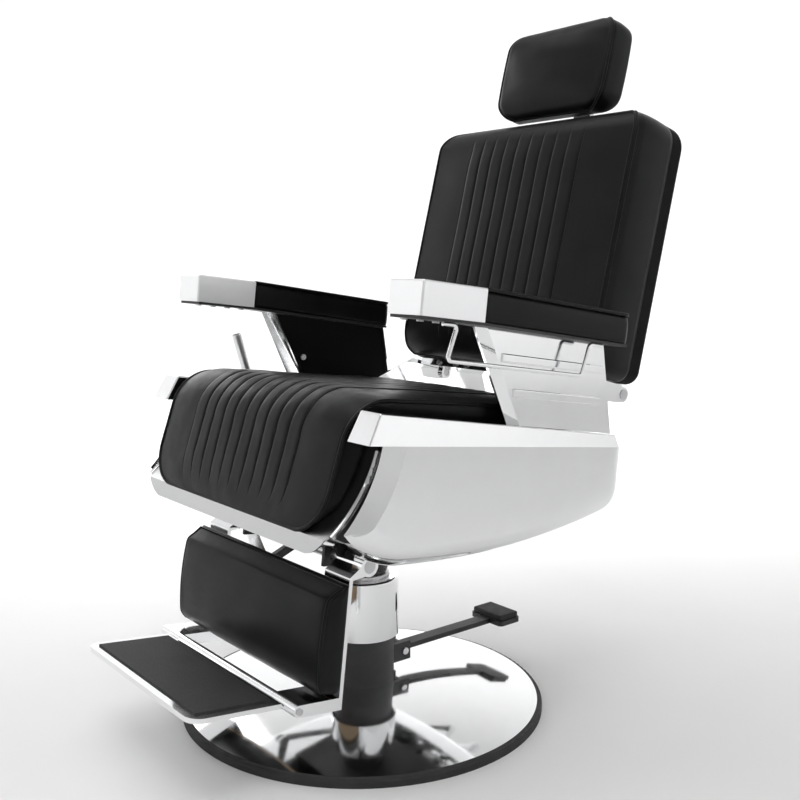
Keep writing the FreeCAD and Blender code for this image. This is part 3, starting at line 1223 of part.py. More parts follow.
pad(hard, "XZ", soft_line, "back_hard - soft_gap",
    rounded_panel("back_half", "0", "back_high", "back_corner", "back_top_corner"))
fillet(hard, "11", lambda edge: edge.BoundBox.YMin > size("back_soft + back_hard") - 0.1)

section = channelled(size("back_half - 4"), 0, 0, size("back_crown"), 4.5 * size("back_channel"),
                     2, 9, size("channel_rise"), 0)
front_line = section[3:-1]
half = size("back_half")
soft = size("back_soft")
outline = [(-half, -soft), (half, -soft), (half, -16)]
outline += [(half - 2, -5, "arc")] + front_line + [(2 - half, -5, "arc"), (-half, -16)]
tall = size("back_high")
body_soft = prism(outline, lambda x, h: Vector(x, -h, 0), Vector(0, 0, tall))
shape_front = box_round(half, 0, tall, size("back_corner"), size("back_top_corner"))
window = prism(shape_front, lambda x, z: Vector(x, -60, z), Vector(0, 200, 0))
side_profile = [(soft, 0), (soft, tall), (26, tall), (2, tall - 10, "arc"), (-9, tall - 34),
                (-18, tall * 0.5, "arc"), (-9, 48), (6, 12, "arc"), (42, 0)]
side_cut = slab(side_profile, half * 1.2)
shaped("back_cushion", body_soft.common(window).common(side_cut), "back")

back_bolts = []
for number, spot in enumerate(bar_bolts):
    back_bolts.append(bolt(f"back_bolt_{number}", "back",
                           (spot, "bar_front", "0 - soft_gap - bar_high / 2"), (0, -1, 0),
                           "2.5", "14", "4.5", "3.5"))
grouped("back_bolts", back_bolts)

# Headrest
behind = "back_soft + back_hard"
holder = new_body("headrest_sleeve", "back")
pad(holder, "XY", "sleeve_low", "sleeve_long", [
    ("0 - post_half - post_plate", behind), ("post_half + post_plate", behind),
    ("post_half + post_plate", f"{behind} + post_thick + 2 * post_plate"),
    ("0 - post_half - post_plate", f"{behind} + post_thick + 2 * post_plate"),
], [
    ("0 - post_half - soft_gap", f"{behind} + post_plate - soft_gap"),
    ("post_half + soft_gap", f"{behind} + post_plate - soft_gap"),
    ("post_half + soft_gap", f"{behind} + post_plate + post_thick + soft_gap"),
    ("0 - post_half - soft_gap", f"{behind} + post_plate + post_thick + soft_gap"),
])
post = new_body("headrest_post", "back")
stub_low = "head_low + head_high / 2 - 10"
stub_high = "head_low + head_high / 2 + 10"
pad(post, "YZ", "0 - post_half", "2 * post_half", [
    (f"{behind} + post_plate", "sleeve_low - 8"), (f"{behind} + post_plate + post_thick", "sleeve_low - 8"),
    (f"{behind} + post_plate + post_thick", stub_high), ("head_front + head_thick", stub_high),
    ("head_front + head_thick", stub_low), (f"{behind} + post_plate", stub_low),
])
fillet(post, "4", lambda edge: edge.BoundBox.YMin > size(f"{behind} + post_plate") - 0.1
       and edge.BoundBox.ZMin > size(stub_low) - 0.1 and edge.BoundBox.XLength > 30)


def pillow(half, low, high, front, back, bulge, corner):
    """A stuffed pad: crowned front, bowed sides, rounded corners."""
    middle = (low + high) / 2
    tuck = 4
    face = [
        (half - corner, low), (half - 0.29 * corner - tuck * 0.5, low + 0.29 * corner, "arc"),
        (half - tuck, low + corner), (half, middle, "arc"), (half - tuck, high - corner),
        (half - 0.29 * corner - tuck * 0.5, high - 0.29 * corner, "arc"), (half - corner, high),
        (0, high + tuck * 0.5, "arc"),
        (corner - half, high), (0.29 * corner + tuck * 0.5 - half, high - 0.29 * corner, "arc"),
        (tuck - half, high - corner), (-half, middle, "arc"), (tuck - half, low + corner),
        (0.29 * corner + tuck * 0.5 - half, low + 0.29 * corner, "arc"), (corner - half, low),
        (0, low - tuck * 0.5, "arc"),
    ]
    plan = [(-half - 5, back), (half + 5, back), (half + 5, front + bulge + 14),
            (half - 12, front + bulge, "arc"), (half - 34, front + bulge * 0.5),
            (0, front, "arc"), (34 - half, front + bulge * 0.5),
            (12 - half, front + bulge, "arc"), (-half - 5, front + bulge + 14)]
    rise = (high - low) * 0.22
    side = [(back, low - 5), (back, high + 5), (front + 22, high + 5), (front + 8, high - 4, "arc"),
            (front + 3, high - rise), (front, middle, "arc"), (front + 3, low + rise),
            (front + 8, low + 4, "arc"), (front + 22, low - 5)]
    one = prism(face, lambda x, z: Vector(x, front - 50, z), Vector(0, back - front + 100, 0))
    two = prism(plan, lambda x, y: Vector(x, y, low - 50), Vector(0, 0, high - low + 100))
    three = prism(side, lambda y, z: Vector(-half - 50, y, z), Vector(2 * half + 100, 0, 0))
    return one.common(two).common(three)


shaped("headrest_pad", pillow(size("head_half"), size("head_low"), size("head_low + head_high"),
                              size("head_front"), size("head_front + head_thick") - gap, 8, 34), "back")

# Leg rest
shaft = new_body("legrest_shaft", "seat")
pad(shaft, "YZ", "0 - leg_half", "2 * leg_half", ("leg_y", "leg_z", "leg_shaft_radius"))

arm_back = "leg_front + leg_arm_thick"
leg_arm = new_body("legrest_arm_left", "seat")
arm_start = "leg_half - leg_arm_wide"
pad(leg_arm, "YZ", arm_start, "leg_arm_wide", [
    ("leg_y + 2", "leg_z + 13"), ("leg_front", "leg_z - 14"), ("leg_front", "foot_z + foot_knuckle"),
    ("foot_y", "foot_z + foot_knuckle"), arc("foot_y - foot_knuckle", "foot_z"),
    ("foot_y", "foot_z - foot_knuckle"), (arm_back, "foot_z - foot_knuckle"),
    (arm_back, "leg_z - 18"), ("leg_y - 4", "leg_z - 13"),
])
pad(leg_arm, "YZ", arm_start, "leg_arm_wide", ("leg_y", "leg_z", "leg_shaft_radius + 5"))
crank_out = ("leg_y + crank_y", "leg_z + crank_z")
pocket(leg_arm, "YZ", arm_start, "leg_arm_wide", ("leg_y", "leg_z", "leg_shaft_radius"),
       ("foot_y", "foot_z", "foot_pin_radius"))
arm_twin = mirrored(leg_arm, "legrest_arm_plain")
crank_start = "link_x + link_thick + 2"
link_arm = new_body("legrest_crank", "seat")
pad(link_arm, "YZ", crank_start, "6", [
    ("leg_y - 8", "leg_z - 11.5"), (crank_out[0] + " - 10", crank_out[1] + " - 6"),
    (crank_out[0] + " + 10", crank_out[1] + " + 6"), ("leg_y + 11", "leg_z - 8"),
])
crank_boss = new_body("legrest_crank_boss", "seat")
pad(crank_boss, "YZ", crank_start, "6", crank_out + ("12",))
crank_hub = new_body("legrest_crank_hub", "seat")
pad(crank_hub, "YZ", f"0 - ({arm_start}) - 1", f"{crank_start} + 7 + {arm_start}",
    ("leg_y", "leg_z", "leg_shaft_radius + 5"), ("leg_y", "leg_z", "leg_shaft_radius"))
crank_stub = new_body("legrest_crank_stub", "seat")
pad(crank_stub, "YZ", "link_x - 2", "link_thick + 10", crank_out + ("link_pin",))
joined("legrest_arm_right", arm_twin, link_arm, crank_boss, crank_hub, crank_stub)

board_front = "leg_front - leg_board_thick"
board = new_body("legrest_board", "seat")
pad(board, "XZ", board_front, "leg_board_thick",
    rounded_panel("(leg_half - 6)", "leg_pad_foot + 6", "leg_pad_top - 20", "20", "8"))
pad_back = size(board_front) - gap
pad_face = size(board_front + " - leg_pad_thick")
pad_top = size("leg_pad_top")
pad_foot = size("leg_pad_foot")
pad_side = [
    (pad_back, pad_foot), (pad_back, pad_top), (pad_face + 8, pad_top - 18),
    (pad_face + 4.5, pad_top - 21, "arc"), (pad_face + 3, pad_top - 26), (pad_face, pad_top - 75, "arc"),
    (pad_face + 4, pad_foot + 22), (pad_face + 9, pad_foot + 6, "arc"), (pad_face + 22, pad_foot),
]
pad_block = slab(pad_side, size("leg_half") * 1.2)
pad_front_view = box_round(size("leg_half + 8"), pad_foot, pad_top, 18, 6)
pad_view = prism(pad_front_view, lambda x, z: Vector(x, pad_face - 40, z), Vector(0, 120, 0))
pad_half = size("leg_half + 8")
pad_plan = [(-pad_half, pad_back), (pad_half, pad_back), (pad_half, pad_face + 14),
            (pad_half - 3, pad_face + 6, "arc"), (pad_half - 12, pad_face + 3), (0, pad_face, "arc"),
            (12 - pad_half, pad_face + 3), (3 - pad_half, pad_face + 6, "arc"), (-pad_half, pad_face + 14)]
pad_crown_cut = prism(pad_plan, lambda x, y: Vector(x, y, pad_foot - 20), Vector(0, 0, 260))
shaped("legrest_pad", pad_block.common(pad_view).common(pad_crown_cut))

# Footplate
foot = new_body("footplate", "seat")
foot_start = "foot_y - foot_knuckle - 2"
knuckle = f"{arm_start} - soft_gap"
pad(foot, "YZ", f"0 - ({knuckle})", f"2 * ({knuckle})", ("foot_y", "foot_z", "foot_knuckle"))
pad(foot, "YZ", f"0 - ({knuckle})", f"2 * ({knuckle})", [
    ("foot_y", "foot_z - foot_thick / 2"), (f"{foot_start} - 4", "foot_z - foot_thick / 2"),
    (f"{foot_start} - 4", "foot_z + foot_thick / 2"), ("foot_y", "foot_z + foot_thick / 2"),
])
pad(foot, "XY", "foot_z - foot_thick / 2", "foot_thick", [
    ("0 - foot_half", foot_start), ("foot_half", foot_start), ("foot_half", "foot_y - foot_long"),
    ("0 - foot_half", "foot_y - foot_long"),
])
pocket(foot, "YZ", "0 - leg_half", "2 * leg_half", ("foot_y", "foot_z", "foot_pin_radius + running_gap"))
fillet(foot, "22", lambda edge: edge.BoundBox.ZLength > 4 and edge.BoundBox.XLength < 0.1
       and edge.BoundBox.YMax < size("foot_y - foot_long") + 0.1)
foot_pin = new_body("footplate_pin", "seat")
pad(foot_pin, "YZ", "0 - leg_half - 2", "2 * leg_half + 4", ("foot_y", "foot_z", "foot_pin_radius"))
mat = new_body("foot_mat", "seat")
pad(mat, "XY", "foot_z + foot_thick / 2", "mat_thick", [
    ("16 - foot_half", f"{foot_start} - 8"), ("foot_half - 16", f"{foot_start} - 8"),
    ("foot_half - 16", "foot_y - foot_long + 14"), ("16 - foot_half", "foot_y - foot_long + 14"),
])

# Link rod between the cranks
near = ("hinge_y + crank_y", "hinge_z + crank_z")
far = ("leg_y + crank_y", "leg_z + crank_z")
link = new_body("link_rod", "seat")


def beside(spot, along_it, aside):
    return (f"{spot[0]} + ({along_it}) * link_dy - ({aside}) * link_dz",
            f"{spot[1]} + ({along_it}) * link_dz + ({aside}) * link_dy")


pad(link, "YZ", "link_x", "link_thick", [
    beside(near, "4", "7"), beside(far, "0 - 4", "7"), beside(far, "0 - 4", "0 - 7"),
    beside(near, "4", "0 - 7")])
pad(link, "YZ", "link_x", "link_thick", near + ("11",))
pad(link, "YZ", "link_x", "link_thick", far + ("11",))
pocket(link, "YZ", "link_x", "link_thick", near + ("link_pin + running_gap",),
       far + ("link_pin + soft_gap",))

# Recline lever of the right side
lean = math.radians(size("lever_lean"))
lever_dir = (0, -math.sin(lean), math.cos(lean))
grip = cylinder("lever_grip", "lever_radius", "lever_long", "seat",
                ("lever_x", "lever_y", "lever_z"), lever_dir)
grip_room = cylinder("lever_grip_room", "lever_radius - 2", "50", "seat",
                     ("lever_x", "lever_y - (lever_long - 45) * sin(lever_lean)",
                      "lever_z + (lever_long - 45) * cos(lever_lean)"), lever_dir)
lever_hub = cylinder("lever_hub", "12", "20", "seat", ("lever_x - 10", "lever_y", "lever_z"), (1, 0, 0))
lever_axle = cylinder("lever_axle", "lever_shaft", "75", "seat", ("lever_x", "lever_y", "lever_z"),
                      (1, 0, 0))
cut("recline_lever", joined("lever_weld", grip, lever_hub, lever_axle), grip_room)

NODES = """
base_plate base_cover base_ring pump_body pump_sleeve pump_gland pump_bolts pedal_pin
pedal_lever pedal_pad ram piston_head swivel_mount swivel_bush frame_plate_left frame_plate_right
cross_tube_front cross_tube_rear seat_shell rim_left rim_right rim_rear seat_pan seat_cushion
arm_panel_left arm_panel_right arm_inner_left arm_inner_right arm_rail_left arm_rail_right
arm_cap_left arm_cap_right arm_pad_left arm_pad_right arm_bolts towel_bar back_bracket_left
back_bracket_right bracket_collars shell_clips strut_cylinder strut_rod back_crossbar hinge_pins
back_shell back_cushion back_bolts headrest_sleeve headrest_post headrest_pad legrest_shaft
legrest_arm_left legrest_arm_right legrest_board legrest_pad footplate footplate_pin foot_mat
link_rod recline_lever
""".split()

doc.recompute()
faults = [item.Label for item in doc.Objects if "Invalid" in item.State or "Error" in item.State]
os.makedirs("parts", exist_ok=True)
for node in NODES:
    item = doc.getObjectsByLabel(node)[0]
    if item.Shape.isNull() or not item.Shape.isValid() or not item.Shape.Solids:
        faults.append(node)
    else:
        item.Shape.exportStep(f"parts/{node}.step")
if faults:
    raise RuntimeError("pieces that did not build: " + ", ".join(faults))
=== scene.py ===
# Looks of the hairdressing chair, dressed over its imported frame. Metres.
import json
import math

import bpy
from mathutils import Matrix, Vector, noise


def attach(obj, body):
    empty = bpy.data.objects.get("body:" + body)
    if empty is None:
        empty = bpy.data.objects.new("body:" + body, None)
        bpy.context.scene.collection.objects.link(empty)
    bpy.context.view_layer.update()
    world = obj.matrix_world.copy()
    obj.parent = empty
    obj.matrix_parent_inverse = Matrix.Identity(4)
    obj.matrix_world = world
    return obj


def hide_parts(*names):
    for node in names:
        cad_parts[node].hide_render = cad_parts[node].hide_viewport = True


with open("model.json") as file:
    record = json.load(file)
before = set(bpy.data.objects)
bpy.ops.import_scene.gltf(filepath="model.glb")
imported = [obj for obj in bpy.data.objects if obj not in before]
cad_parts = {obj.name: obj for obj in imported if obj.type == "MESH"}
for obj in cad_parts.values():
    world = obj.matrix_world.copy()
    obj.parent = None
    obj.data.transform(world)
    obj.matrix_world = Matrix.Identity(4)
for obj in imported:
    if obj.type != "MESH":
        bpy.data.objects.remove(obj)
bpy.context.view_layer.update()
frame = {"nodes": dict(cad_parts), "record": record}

# Frames of the seat and of the back, as the model has them
RIGHT_ANGLE = math.pi / 2
MOUNT_HEIGHT = 0.275
SEAT_TILT = math.radians(6.8)
BACK_Y = 0.238
BACK_Z = 0.3105
BACK_LEAN = math.radians(7.7)
SEAT = Matrix.Translation((0, 0, MOUNT_HEIGHT)) @ Matrix.Rotation(-SEAT_TILT, 4, "X")
BACK = SEAT @ Matrix.Translation((0, BACK_Y, BACK_Z)) @ Matrix.Rotation(-BACK_LEAN, 4, "X")

# Sewing, shared by the covers
CHANNEL_RISE = 0.0019
CHANNEL_SHOULDER = 5
CHANNEL_MARGIN = 0.012
SEAM_DEPTH = 0.0009
SEAM_WIDE = 0.0006
STITCH = 0.0075
PUCKER = 0.25
PIPING = 0.0030
BACK_WELT = 0.0016
ARM_PIPING = 0.0026
SLIM_PIPING = 0.0024

# Unevenness of the stuffing: layer of the noise, size of its bumps and their height
SEAT_UNEVEN = (0.3, 0.07, 0.0012)
SEAT_FINE = (1.7, 0.022, 0.0004)
BACK_UNEVEN = (4.1, 0.08, 0.0012)
LEG_UNEVEN = (7.3, 0.06, 0.0010)
HEAD_UNEVEN = (2.9, 0.05, 0.0010)

# Seat cushion: over the pan, round a bend and down its front
SEAT_HALF = 0.240
SEAT_REAR = 0.165
SEAT_EDGE = 0.251
SEAT_THICK = 0.0417
SEAT_THIN = 0.001
SEAT_LIFT = 0.0022
SEAT_LIFT_REACH = 0.05
SEAT_CHANNELS = 10
SEAT_CHANNEL = 0.030
SEAT_SEAM_HALF = SEAT_CHANNELS * SEAT_CHANNEL / 2
SEAT_CORNER = 0.062
SWEEP_RADIUS = 0.2222
BEND_Y = -0.1685
BEND_RADIUS = 0.070
DROP_ANGLE = math.radians(12.2)
DROP_LONG = 0.1297
TOP_RUN = SEAT_REAR - BEND_Y
BEND_TURN = RIGHT_ANGLE - DROP_ANGLE
BEND_RUN = BEND_RADIUS * BEND_TURN
SEAT_RUN = TOP_RUN + BEND_RUN + DROP_LONG

# Crown and sewing of the seat; fades run between two distances from its front or rear edge
SEAT_CROWN = 0.0086
SEAT_FRONT_CROWN = 0.0035
SEAT_CROWN_CHANGE = (0.09, 0.24)
SEAT_REAR_SHARE = 0.45
SEAT_REAR_REACH = 0.03
SEAT_FRONT_START = 0.003
SEAT_FRONT_REACH = 0.060
SEAT_BORDER_POWER = 3.0
SEAT_BULGE = 0.0015
SEAT_BULGE_FADE = (0.03, 0.2)
SEAT_REAR_FADE = (0.004, 0.03)
SEAT_SWELL_FADE = (0.018, 0.085)
SEAT_SEAM_FADE = (0.014, 0.050)
SEAT_TUCK = 0.007
SEAT_SIDE_BOW = 0.0015
SEAT_PIPING_OUT = 0.0010
SEAT_PIPING_SUNK = 0.0008
SEAT_PIPING_STOP = 0.0005

# Upright pads: bow of their sides, reach of a flare and roundness of the face
PAD_SIDE_BOW = 0.0016
FLARE_REACH = 0.8
FACE_POWER = 2.2

# Back cushion
BACK_HALF = 0.250
BACK_HIGH = 0.448
BACK_SOFT = 0.092
BACK_FRONT = 0.002
BACK_CHANNELS = 9
BACK_CHANNEL = 0.0302
BACK_SEAM_HALF = BACK_CHANNELS * BACK_CHANNEL / 2
BACK_SEAM = 0.237
BACK_FLARE = 0.008
BACK_EDGE = BACK_HALF - BACK_SEAM - BACK_FLARE
BACK_FOOT_DEEP = 0.046
BACK_FOOT_HIGH = 0.062
BACK_TOP_DEEP = 0.034
BACK_TOP_HIGH = 0.040
BACK_FOOT_CORNER = 0.024
BACK_TOP_CORNER = 0.045
BACK_CROWN = 0.010
BACK_END_SHARE = 0.25
BACK_CROWN_FOOT = (0.0, 0.11)
BACK_CROWN_TOP = (0.0, 0.09)
BACK_SEWN_FOOT = (0.03, 0.075)
BACK_SEWN_TOP = (0.02, 0.07)
WELT_MARGIN = 0.004
WELT_TURNS = {"inner": math.radians(4), "outer": math.radians(72)}

# Arm pads
PAD_INNER = 0.262
PAD_OUTER = 0.328
PAD_FRONT = -0.0867
PAD_REAR = 0.227
PAD_BASE = 0.3693
PAD_DROP = 0.009
PAD_HIGH = 0.0467
PAD_CROWN = 0.0012
PAD_END = 0.016
PAD_END_FALL = 0.05
PAD_FOOT_IN = 0.0035
PAD_BEVEL = 0.0012
PAD_FOOT = 0.003
PAD_BOW = 0.0006
PAD_ROLL = 0.0025
PAD_ROLL_POWER = 8
PAD_NOTCH = 0.0062
PAD_NOTCH_LOW = (0.0014, 0.0010)
PAD_NOTCH_HIGH = (0.0010, -0.0008)
PAD_UNEVEN = (0.06, 0.0004)
PAD_EVEN_FOOT = 0.01
ARM_PIPING_PROUD = 0.0004
ARM_PIPING_RISE = 0.0014

# Leg rest pad
LEG_HALF = 0.208
LEG_BACK = -0.1803
LEG_FACE = -0.219
LEG_TOP = -0.009
LEG_FOOT = -0.168
LEG_SLOPE = 0.018
LEG_SHOULDER = 0.008
LEG_RIDGE = 0.002
LEG_BOW = 0.006
LEG_TOE_DEEP = 0.018
LEG_TOE_HIGH = 0.022
LEG_BROW_DEEP = 0.003
LEG_BROW_HIGH = 0.01
LEG_CORNER = 0.018
LEG_EDGE = 0.010
LEG_EDGE_SHARE = 0.45
LEG_CROWN = 0.003
LEG_CROWN_FADE = (0.012, 0.05)
LEG_PIPING_IN = 0.4
LEG_PIPING_BACK = 0.25

# Headrest pad
HEAD_HALF = 0.130
HEAD_LOW = 0.470
HEAD_TOP = 0.635
HEAD_FRONT = 0.016
HEAD_BACK = 0.0817
HEAD_CORNER = 0.034
HEAD_WAIST = 0.004
HEAD_CROWN = 0.010
HEAD_CROWN_FADE = (0.0, 0.06)
HEAD_NOSE_DEEP = 0.020
HEAD_NOSE_HIGH = 0.030
HEAD_NAPE_DEEP = 0.016
HEAD_NAPE_HIGH = 0.022
HEAD_EDGE = 0.016
HEAD_PIPING_IN = 0.0032
HEAD_PIPING_BACK = 0.0052

# Materials: part of a noise pattern that is used, and the shine of the dull blacks
PATTERN_LOW = 0.3
PATTERN_HIGH = 0.7
DULL_SPECULAR = 0.15

# Stage
FLOOR_HOLE = 0.01
FLOOR_FLAT = 5.0
FLOOR_RISE = 3.5
WALL_STEP = 2.0
WALL_STEPS = 4
WORLD_STRENGTH = 0.36

# Camera of the photograph
CAMERA_PLACE = Vector((1.2943, -0.9755, 0.7311))
CAMERA_YAW = math.radians(50.789)
CAMERA_PITCH = math.radians(7.804)
CAMERA_LENS = 45.18
CAMERA_SENSOR = 36
CAMERA_NEAR = 0.05
CAMERA_FAR = 60


# Meshes
def new_object(name, mesh, body, material):
    """Put a mesh into the scene on a body and material."""
    item = bpy.data.objects.new(name, mesh)
    bpy.context.scene.collection.objects.link(item)
    item.data.materials.clear()
    item.data.materials.append(material)
    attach(item, body)
    return item


def lofted(name, rings, matrix):
    """A closed skin through rings of equally many points, with a face on each end."""
    count = len(rings[0])
    points = [matrix @ point for ring in rings for point in ring]
    faces = []
    for row in range(len(rings) - 1):
        base = row * count
        for step in range(count):
            following = (step + 1) % count
            faces.append((base + step, base + following, base + count + following, base + count + step))
    faces.append(tuple(range(count))[::-1])
    last = (len(rings) - 1) * count
    faces.append(tuple(range(last, last + count)))
    mesh = bpy.data.meshes.new(name)
    mesh.from_pydata(points, [], faces)
    mesh.polygons.foreach_set("use_smooth", [True] * (len(faces) - 2) + [False] * 2)
    mesh.update()
    return mesh


def tube(name, points, radius, matrix, closed=False):
    """A round tube along points."""
    curve = bpy.data.curves.new(name, "CURVE")
    curve.dimensions = "3D"
    curve.bevel_depth = radius
    curve.bevel_resolution = 4
    curve.use_fill_caps = True
    line = curve.splines.new("POLY")
    line.points.add(len(points) - 1)
    for spot, point in zip(line.points, points):
        spot.co = (*(matrix @ point), 1)
    line.use_cyclic_u = closed
    holder = bpy.data.objects.new(name, curve)
    bpy.context.scene.collection.objects.link(holder)
    bpy.context.view_layer.update()
    seen = holder.evaluated_get(bpy.context.evaluated_depsgraph_get())
    mesh = bpy.data.meshes.new_from_object(seen)
    bpy.data.objects.remove(holder)
    bpy.data.curves.remove(curve)
    mesh.name = name
    mesh.polygons.foreach_set("use_smooth", [True] * len(mesh.polygons))
    return mesh


# Forms and steps
def ease(value, low, high):
    """Smooth rise from 0 at low to 1 at high."""
    part = min(max((value - low) / (high - low), 0), 1)
    return part * part * (3 - 2 * part)


def quarter(value, reach):
    """Rise of a quarter circle from 0 at 0 to 1 at reach."""
    part = min(max(value / reach, 0), 1)
    return math.sqrt(1 - (1 - part) ** 2)


def quarter_turns(count):
    """Angles of equal steps to a right angle, without the start."""
    return [RIGHT_ANGLE * step / count for step in range(1, count + 1)]


def cosine_steps(count):
    """Shares from 0 to 1 that lie closer together at both ends."""
    return [0.5 - 0.5 * math.cos(math.pi * number / count) for number in range(count + 1)]


def even_columns(count):
    """Shares from -1 to 1, with count steps on each side."""
    return [number / count - 1 for number in range(2 * count + 1)]


def mirrored(points):
    """The points on the other side of the middle, in reverse order."""
    return [Vector((-point.x, point.y, point.z)) for point in points[::-1]]


def ripple(across, along, layer, scale, height):
    """Slight unevenness of a stuffed cover."""
    return noise.noise(Vector((across, along, layer)) / scale) * height


def pucker(along):
    """Depth of a seam along its stitches, about 1."""
    return 1 + PUCKER * math.cos(2 * math.pi * along / STITCH)


def channel_form(across, half, count):
    """Rise of the sewn channels and depth of their seams at a distance from the middle."""
    if abs(across) > half + CHANNEL_MARGIN:
        return 0, 0
    step = 2 * half / count
    spot = (across + half) / step
    part = spot - math.floor(spot)
    inside = abs(across) <= half
    swell = CHANNEL_RISE * (1 - abs(2 * part - 1) ** CHANNEL_SHOULDER) if inside else 0
    to_seam = min(part, 1 - part) * step if inside else abs(across) - half
    return swell, SEAM_DEPTH * math.exp(-(to_seam / SEAM_WIDE) ** 2)


def column_places(half, seam_half, count, per_channel, per_border):
    """Places across a cushion, crowded towards each seam."""
    channel = 2 * seam_half / count
    shares = cosine_steps(per_channel)[:-1]
    middle = [-seam_half + channel * (number + share) for number in range(count) for share in shares]
    reach = half - seam_half
    border = [seam_half + reach * (1 - math.cos(turn)) for turn in quarter_turns(per_border)]
    return [-place for place in border[::-1]] + middle + [seam_half] + border


# Seat cushion
def seat_line(run):
    """Place and outward direction of the piping line at a run from the rear."""
    if run < TOP_RUN:
        return Vector((0, SEAT_REAR - run, SEAT_EDGE)), Vector((0, 0, 1))
    turn = min((run - TOP_RUN) / BEND_RADIUS, BEND_TURN)
    out = Vector((0, -math.sin(turn), math.cos(turn)))
    place = Vector((0, BEND_Y, SEAT_EDGE - BEND_RADIUS)) + out * BEND_RADIUS
    down = Vector((0, -math.cos(turn), -math.sin(turn)))
    return place + down * max(run - TOP_RUN - BEND_RUN, 0), out


def seat_half(run):
    """Half width at a run, with the lower corners rounded."""
    short = max(SEAT_CORNER - (SEAT_RUN - run), 0)
    return SEAT_HALF - (SEAT_CORNER - math.sqrt(SEAT_CORNER ** 2 - short ** 2))


def seat_lift(run):
    """How far the piping stands over the line of the model's cushion."""
    return SEAT_LIFT * quarter(SEAT_RUN - run, SEAT_LIFT_REACH)


def seat_height(across, run):
    """Height of the cover over the piping line."""
    far = abs(across)
    left = SEAT_RUN - run
    border = (far - SEAT_SEAM_HALF) / (SEAT_HALF - SEAT_SEAM_HALF)
    shape = 1 - max(border, 0) ** SEAT_BORDER_POWER
    crown = SEAT_FRONT_CROWN + (SEAT_CROWN - SEAT_FRONT_CROWN) * ease(left, *SEAT_CROWN_CHANGE)
    crown *= SEAT_REAR_SHARE + (1 - SEAT_REAR_SHARE) * quarter(run, SEAT_REAR_REACH)
    crown *= quarter(left + SEAT_FRONT_START, SEAT_FRONT_REACH)
    bulge = SEAT_BULGE * (1 - min(far / SEAT_SEAM_HALF, 1) ** 2) * ease(left, *SEAT_BULGE_FADE)
    swell, seam = channel_form(across, SEAT_SEAM_HALF, SEAT_CHANNELS)
    sewn = swell * ease(left, *SEAT_SWELL_FADE) - seam * pucker(run) * ease(left, *SEAT_SEAM_FADE)
    sewn *= ease(run, *SEAT_REAR_FADE)
    uneven = ripple(across, run, *SEAT_UNEVEN) + ripple(across, run, *SEAT_FINE)
    return max((crown + uneven) * shape + bulge + sewn, 0)


def seat_cushion(material):
    """Cover of the seat: side, sewn top and side at each run from the rear."""
    columns = column_places(SEAT_HALF, SEAT_SEAM_HALF, SEAT_CHANNELS, per_channel=16, per_border=26)
    side_steps = 7
    rows = 230
    rings = []
    for row in range(rows + 1):
        run = SEAT_RUN * row / rows
        place, out = seat_line(run)
        half = seat_half(run)
        lift = seat_lift(run)
        fall = max(run - TOP_RUN - BEND_RUN, 0)
        sweep = SWEEP_RADIUS - math.sqrt(SWEEP_RADIUS ** 2 - fall ** 2)
        deep = max(SEAT_THICK - sweep, SEAT_THIN) + lift
        place = place + out * lift
        side = []
        for step in range(side_steps):
            part = step / side_steps
            tuck = SEAT_TUCK * (1 - part) ** 2 + SEAT_SIDE_BOW * math.sin(math.pi * part)
            side.append(Vector((-half + tuck, 0, 0)) + place - out * deep * (1 - part))
        top = [Vector((x * half / SEAT_HALF, 0, 0)) + place + out * seat_height(x, run) for x in columns]
        rings.append(side + top + mirrored(side))
    cushion = new_object("seat_cushion_cover", lofted("seat_cushion_cover", rings, SEAT), "seat",
                         material)
    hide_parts("seat_cushion")


def seat_piping(material):
    """Piping along both sides of the seat, round its lower corners and across the front."""
    run_steps = 90
    straight_steps = 78
    straight = [SEAT_RUN * number / run_steps for number in range(straight_steps)]
    corner = [SEAT_RUN - SEAT_CORNER * (1 - math.sin(turn)) for turn in [0] + quarter_turns(12)]
    side = []
    for run in straight + corner:
        place, out = seat_line(min(run, SEAT_RUN - SEAT_PIPING_STOP))
        proud = seat_lift(run) - SEAT_PIPING_SUNK
        side.append(Vector((seat_half(run) + SEAT_PIPING_OUT, 0, 0)) + place + out * proud)
    mesh = tube("seat_piping", side + mirrored(side), PIPING, SEAT)
    new_object("seat_piping", mesh, "seat", material)


# Upright pads: rings of a section across at rising heights
def pad_ring(height, half, front, back, crown, edge, columns, form, flare=0):
    """Section of an upright pad: flat back, bowed sides, rounded edges and a crowned front."""
    corner = half - flare - edge
    right = [Vector((corner + edge * math.sin(turn), front + edge - edge * math.cos(turn), height))
             for turn in quarter_turns(7)]
    deep = back - front - edge
    side_steps = 12
    for step in range(1, side_steps + 1):
        part = step / side_steps
        bow = PAD_SIDE_BOW * math.sin(math.pi * part) - flare * (1 - quarter(part, FLARE_REACH))
        right.append(Vector((half + bow, front + edge + deep * part, height)))
    face = []
    for place in columns:
        across = place * corner
        swell = crown * (1 - abs(place) ** FACE_POWER)
        face.append(Vector((across, front - swell - form(across, height), height)))
    return mirrored(right) + face + right


def back_front(height):
    """Front line of the back seen from the side, rounded at foot and top."""
    foot = BACK_FOOT_DEEP * (1 - quarter(height, BACK_FOOT_HIGH))
    top = BACK_TOP_DEEP * (1 - quarter(BACK_HIGH - height, BACK_TOP_HIGH))
    return BACK_FRONT + foot + top


def back_half(height):
    """Half width of the back at a height, with its corners rounded."""
    foot = BACK_FOOT_CORNER * (1 - quarter(height, BACK_FOOT_CORNER))
    top = BACK_TOP_CORNER * (1 - quarter(BACK_HIGH - height, BACK_TOP_CORNER))
    return BACK_HALF - foot - top


def back_edge(half):
    """Radius of the front edge of the back, less where the back is narrower."""
    return BACK_EDGE * half / BACK_HALF


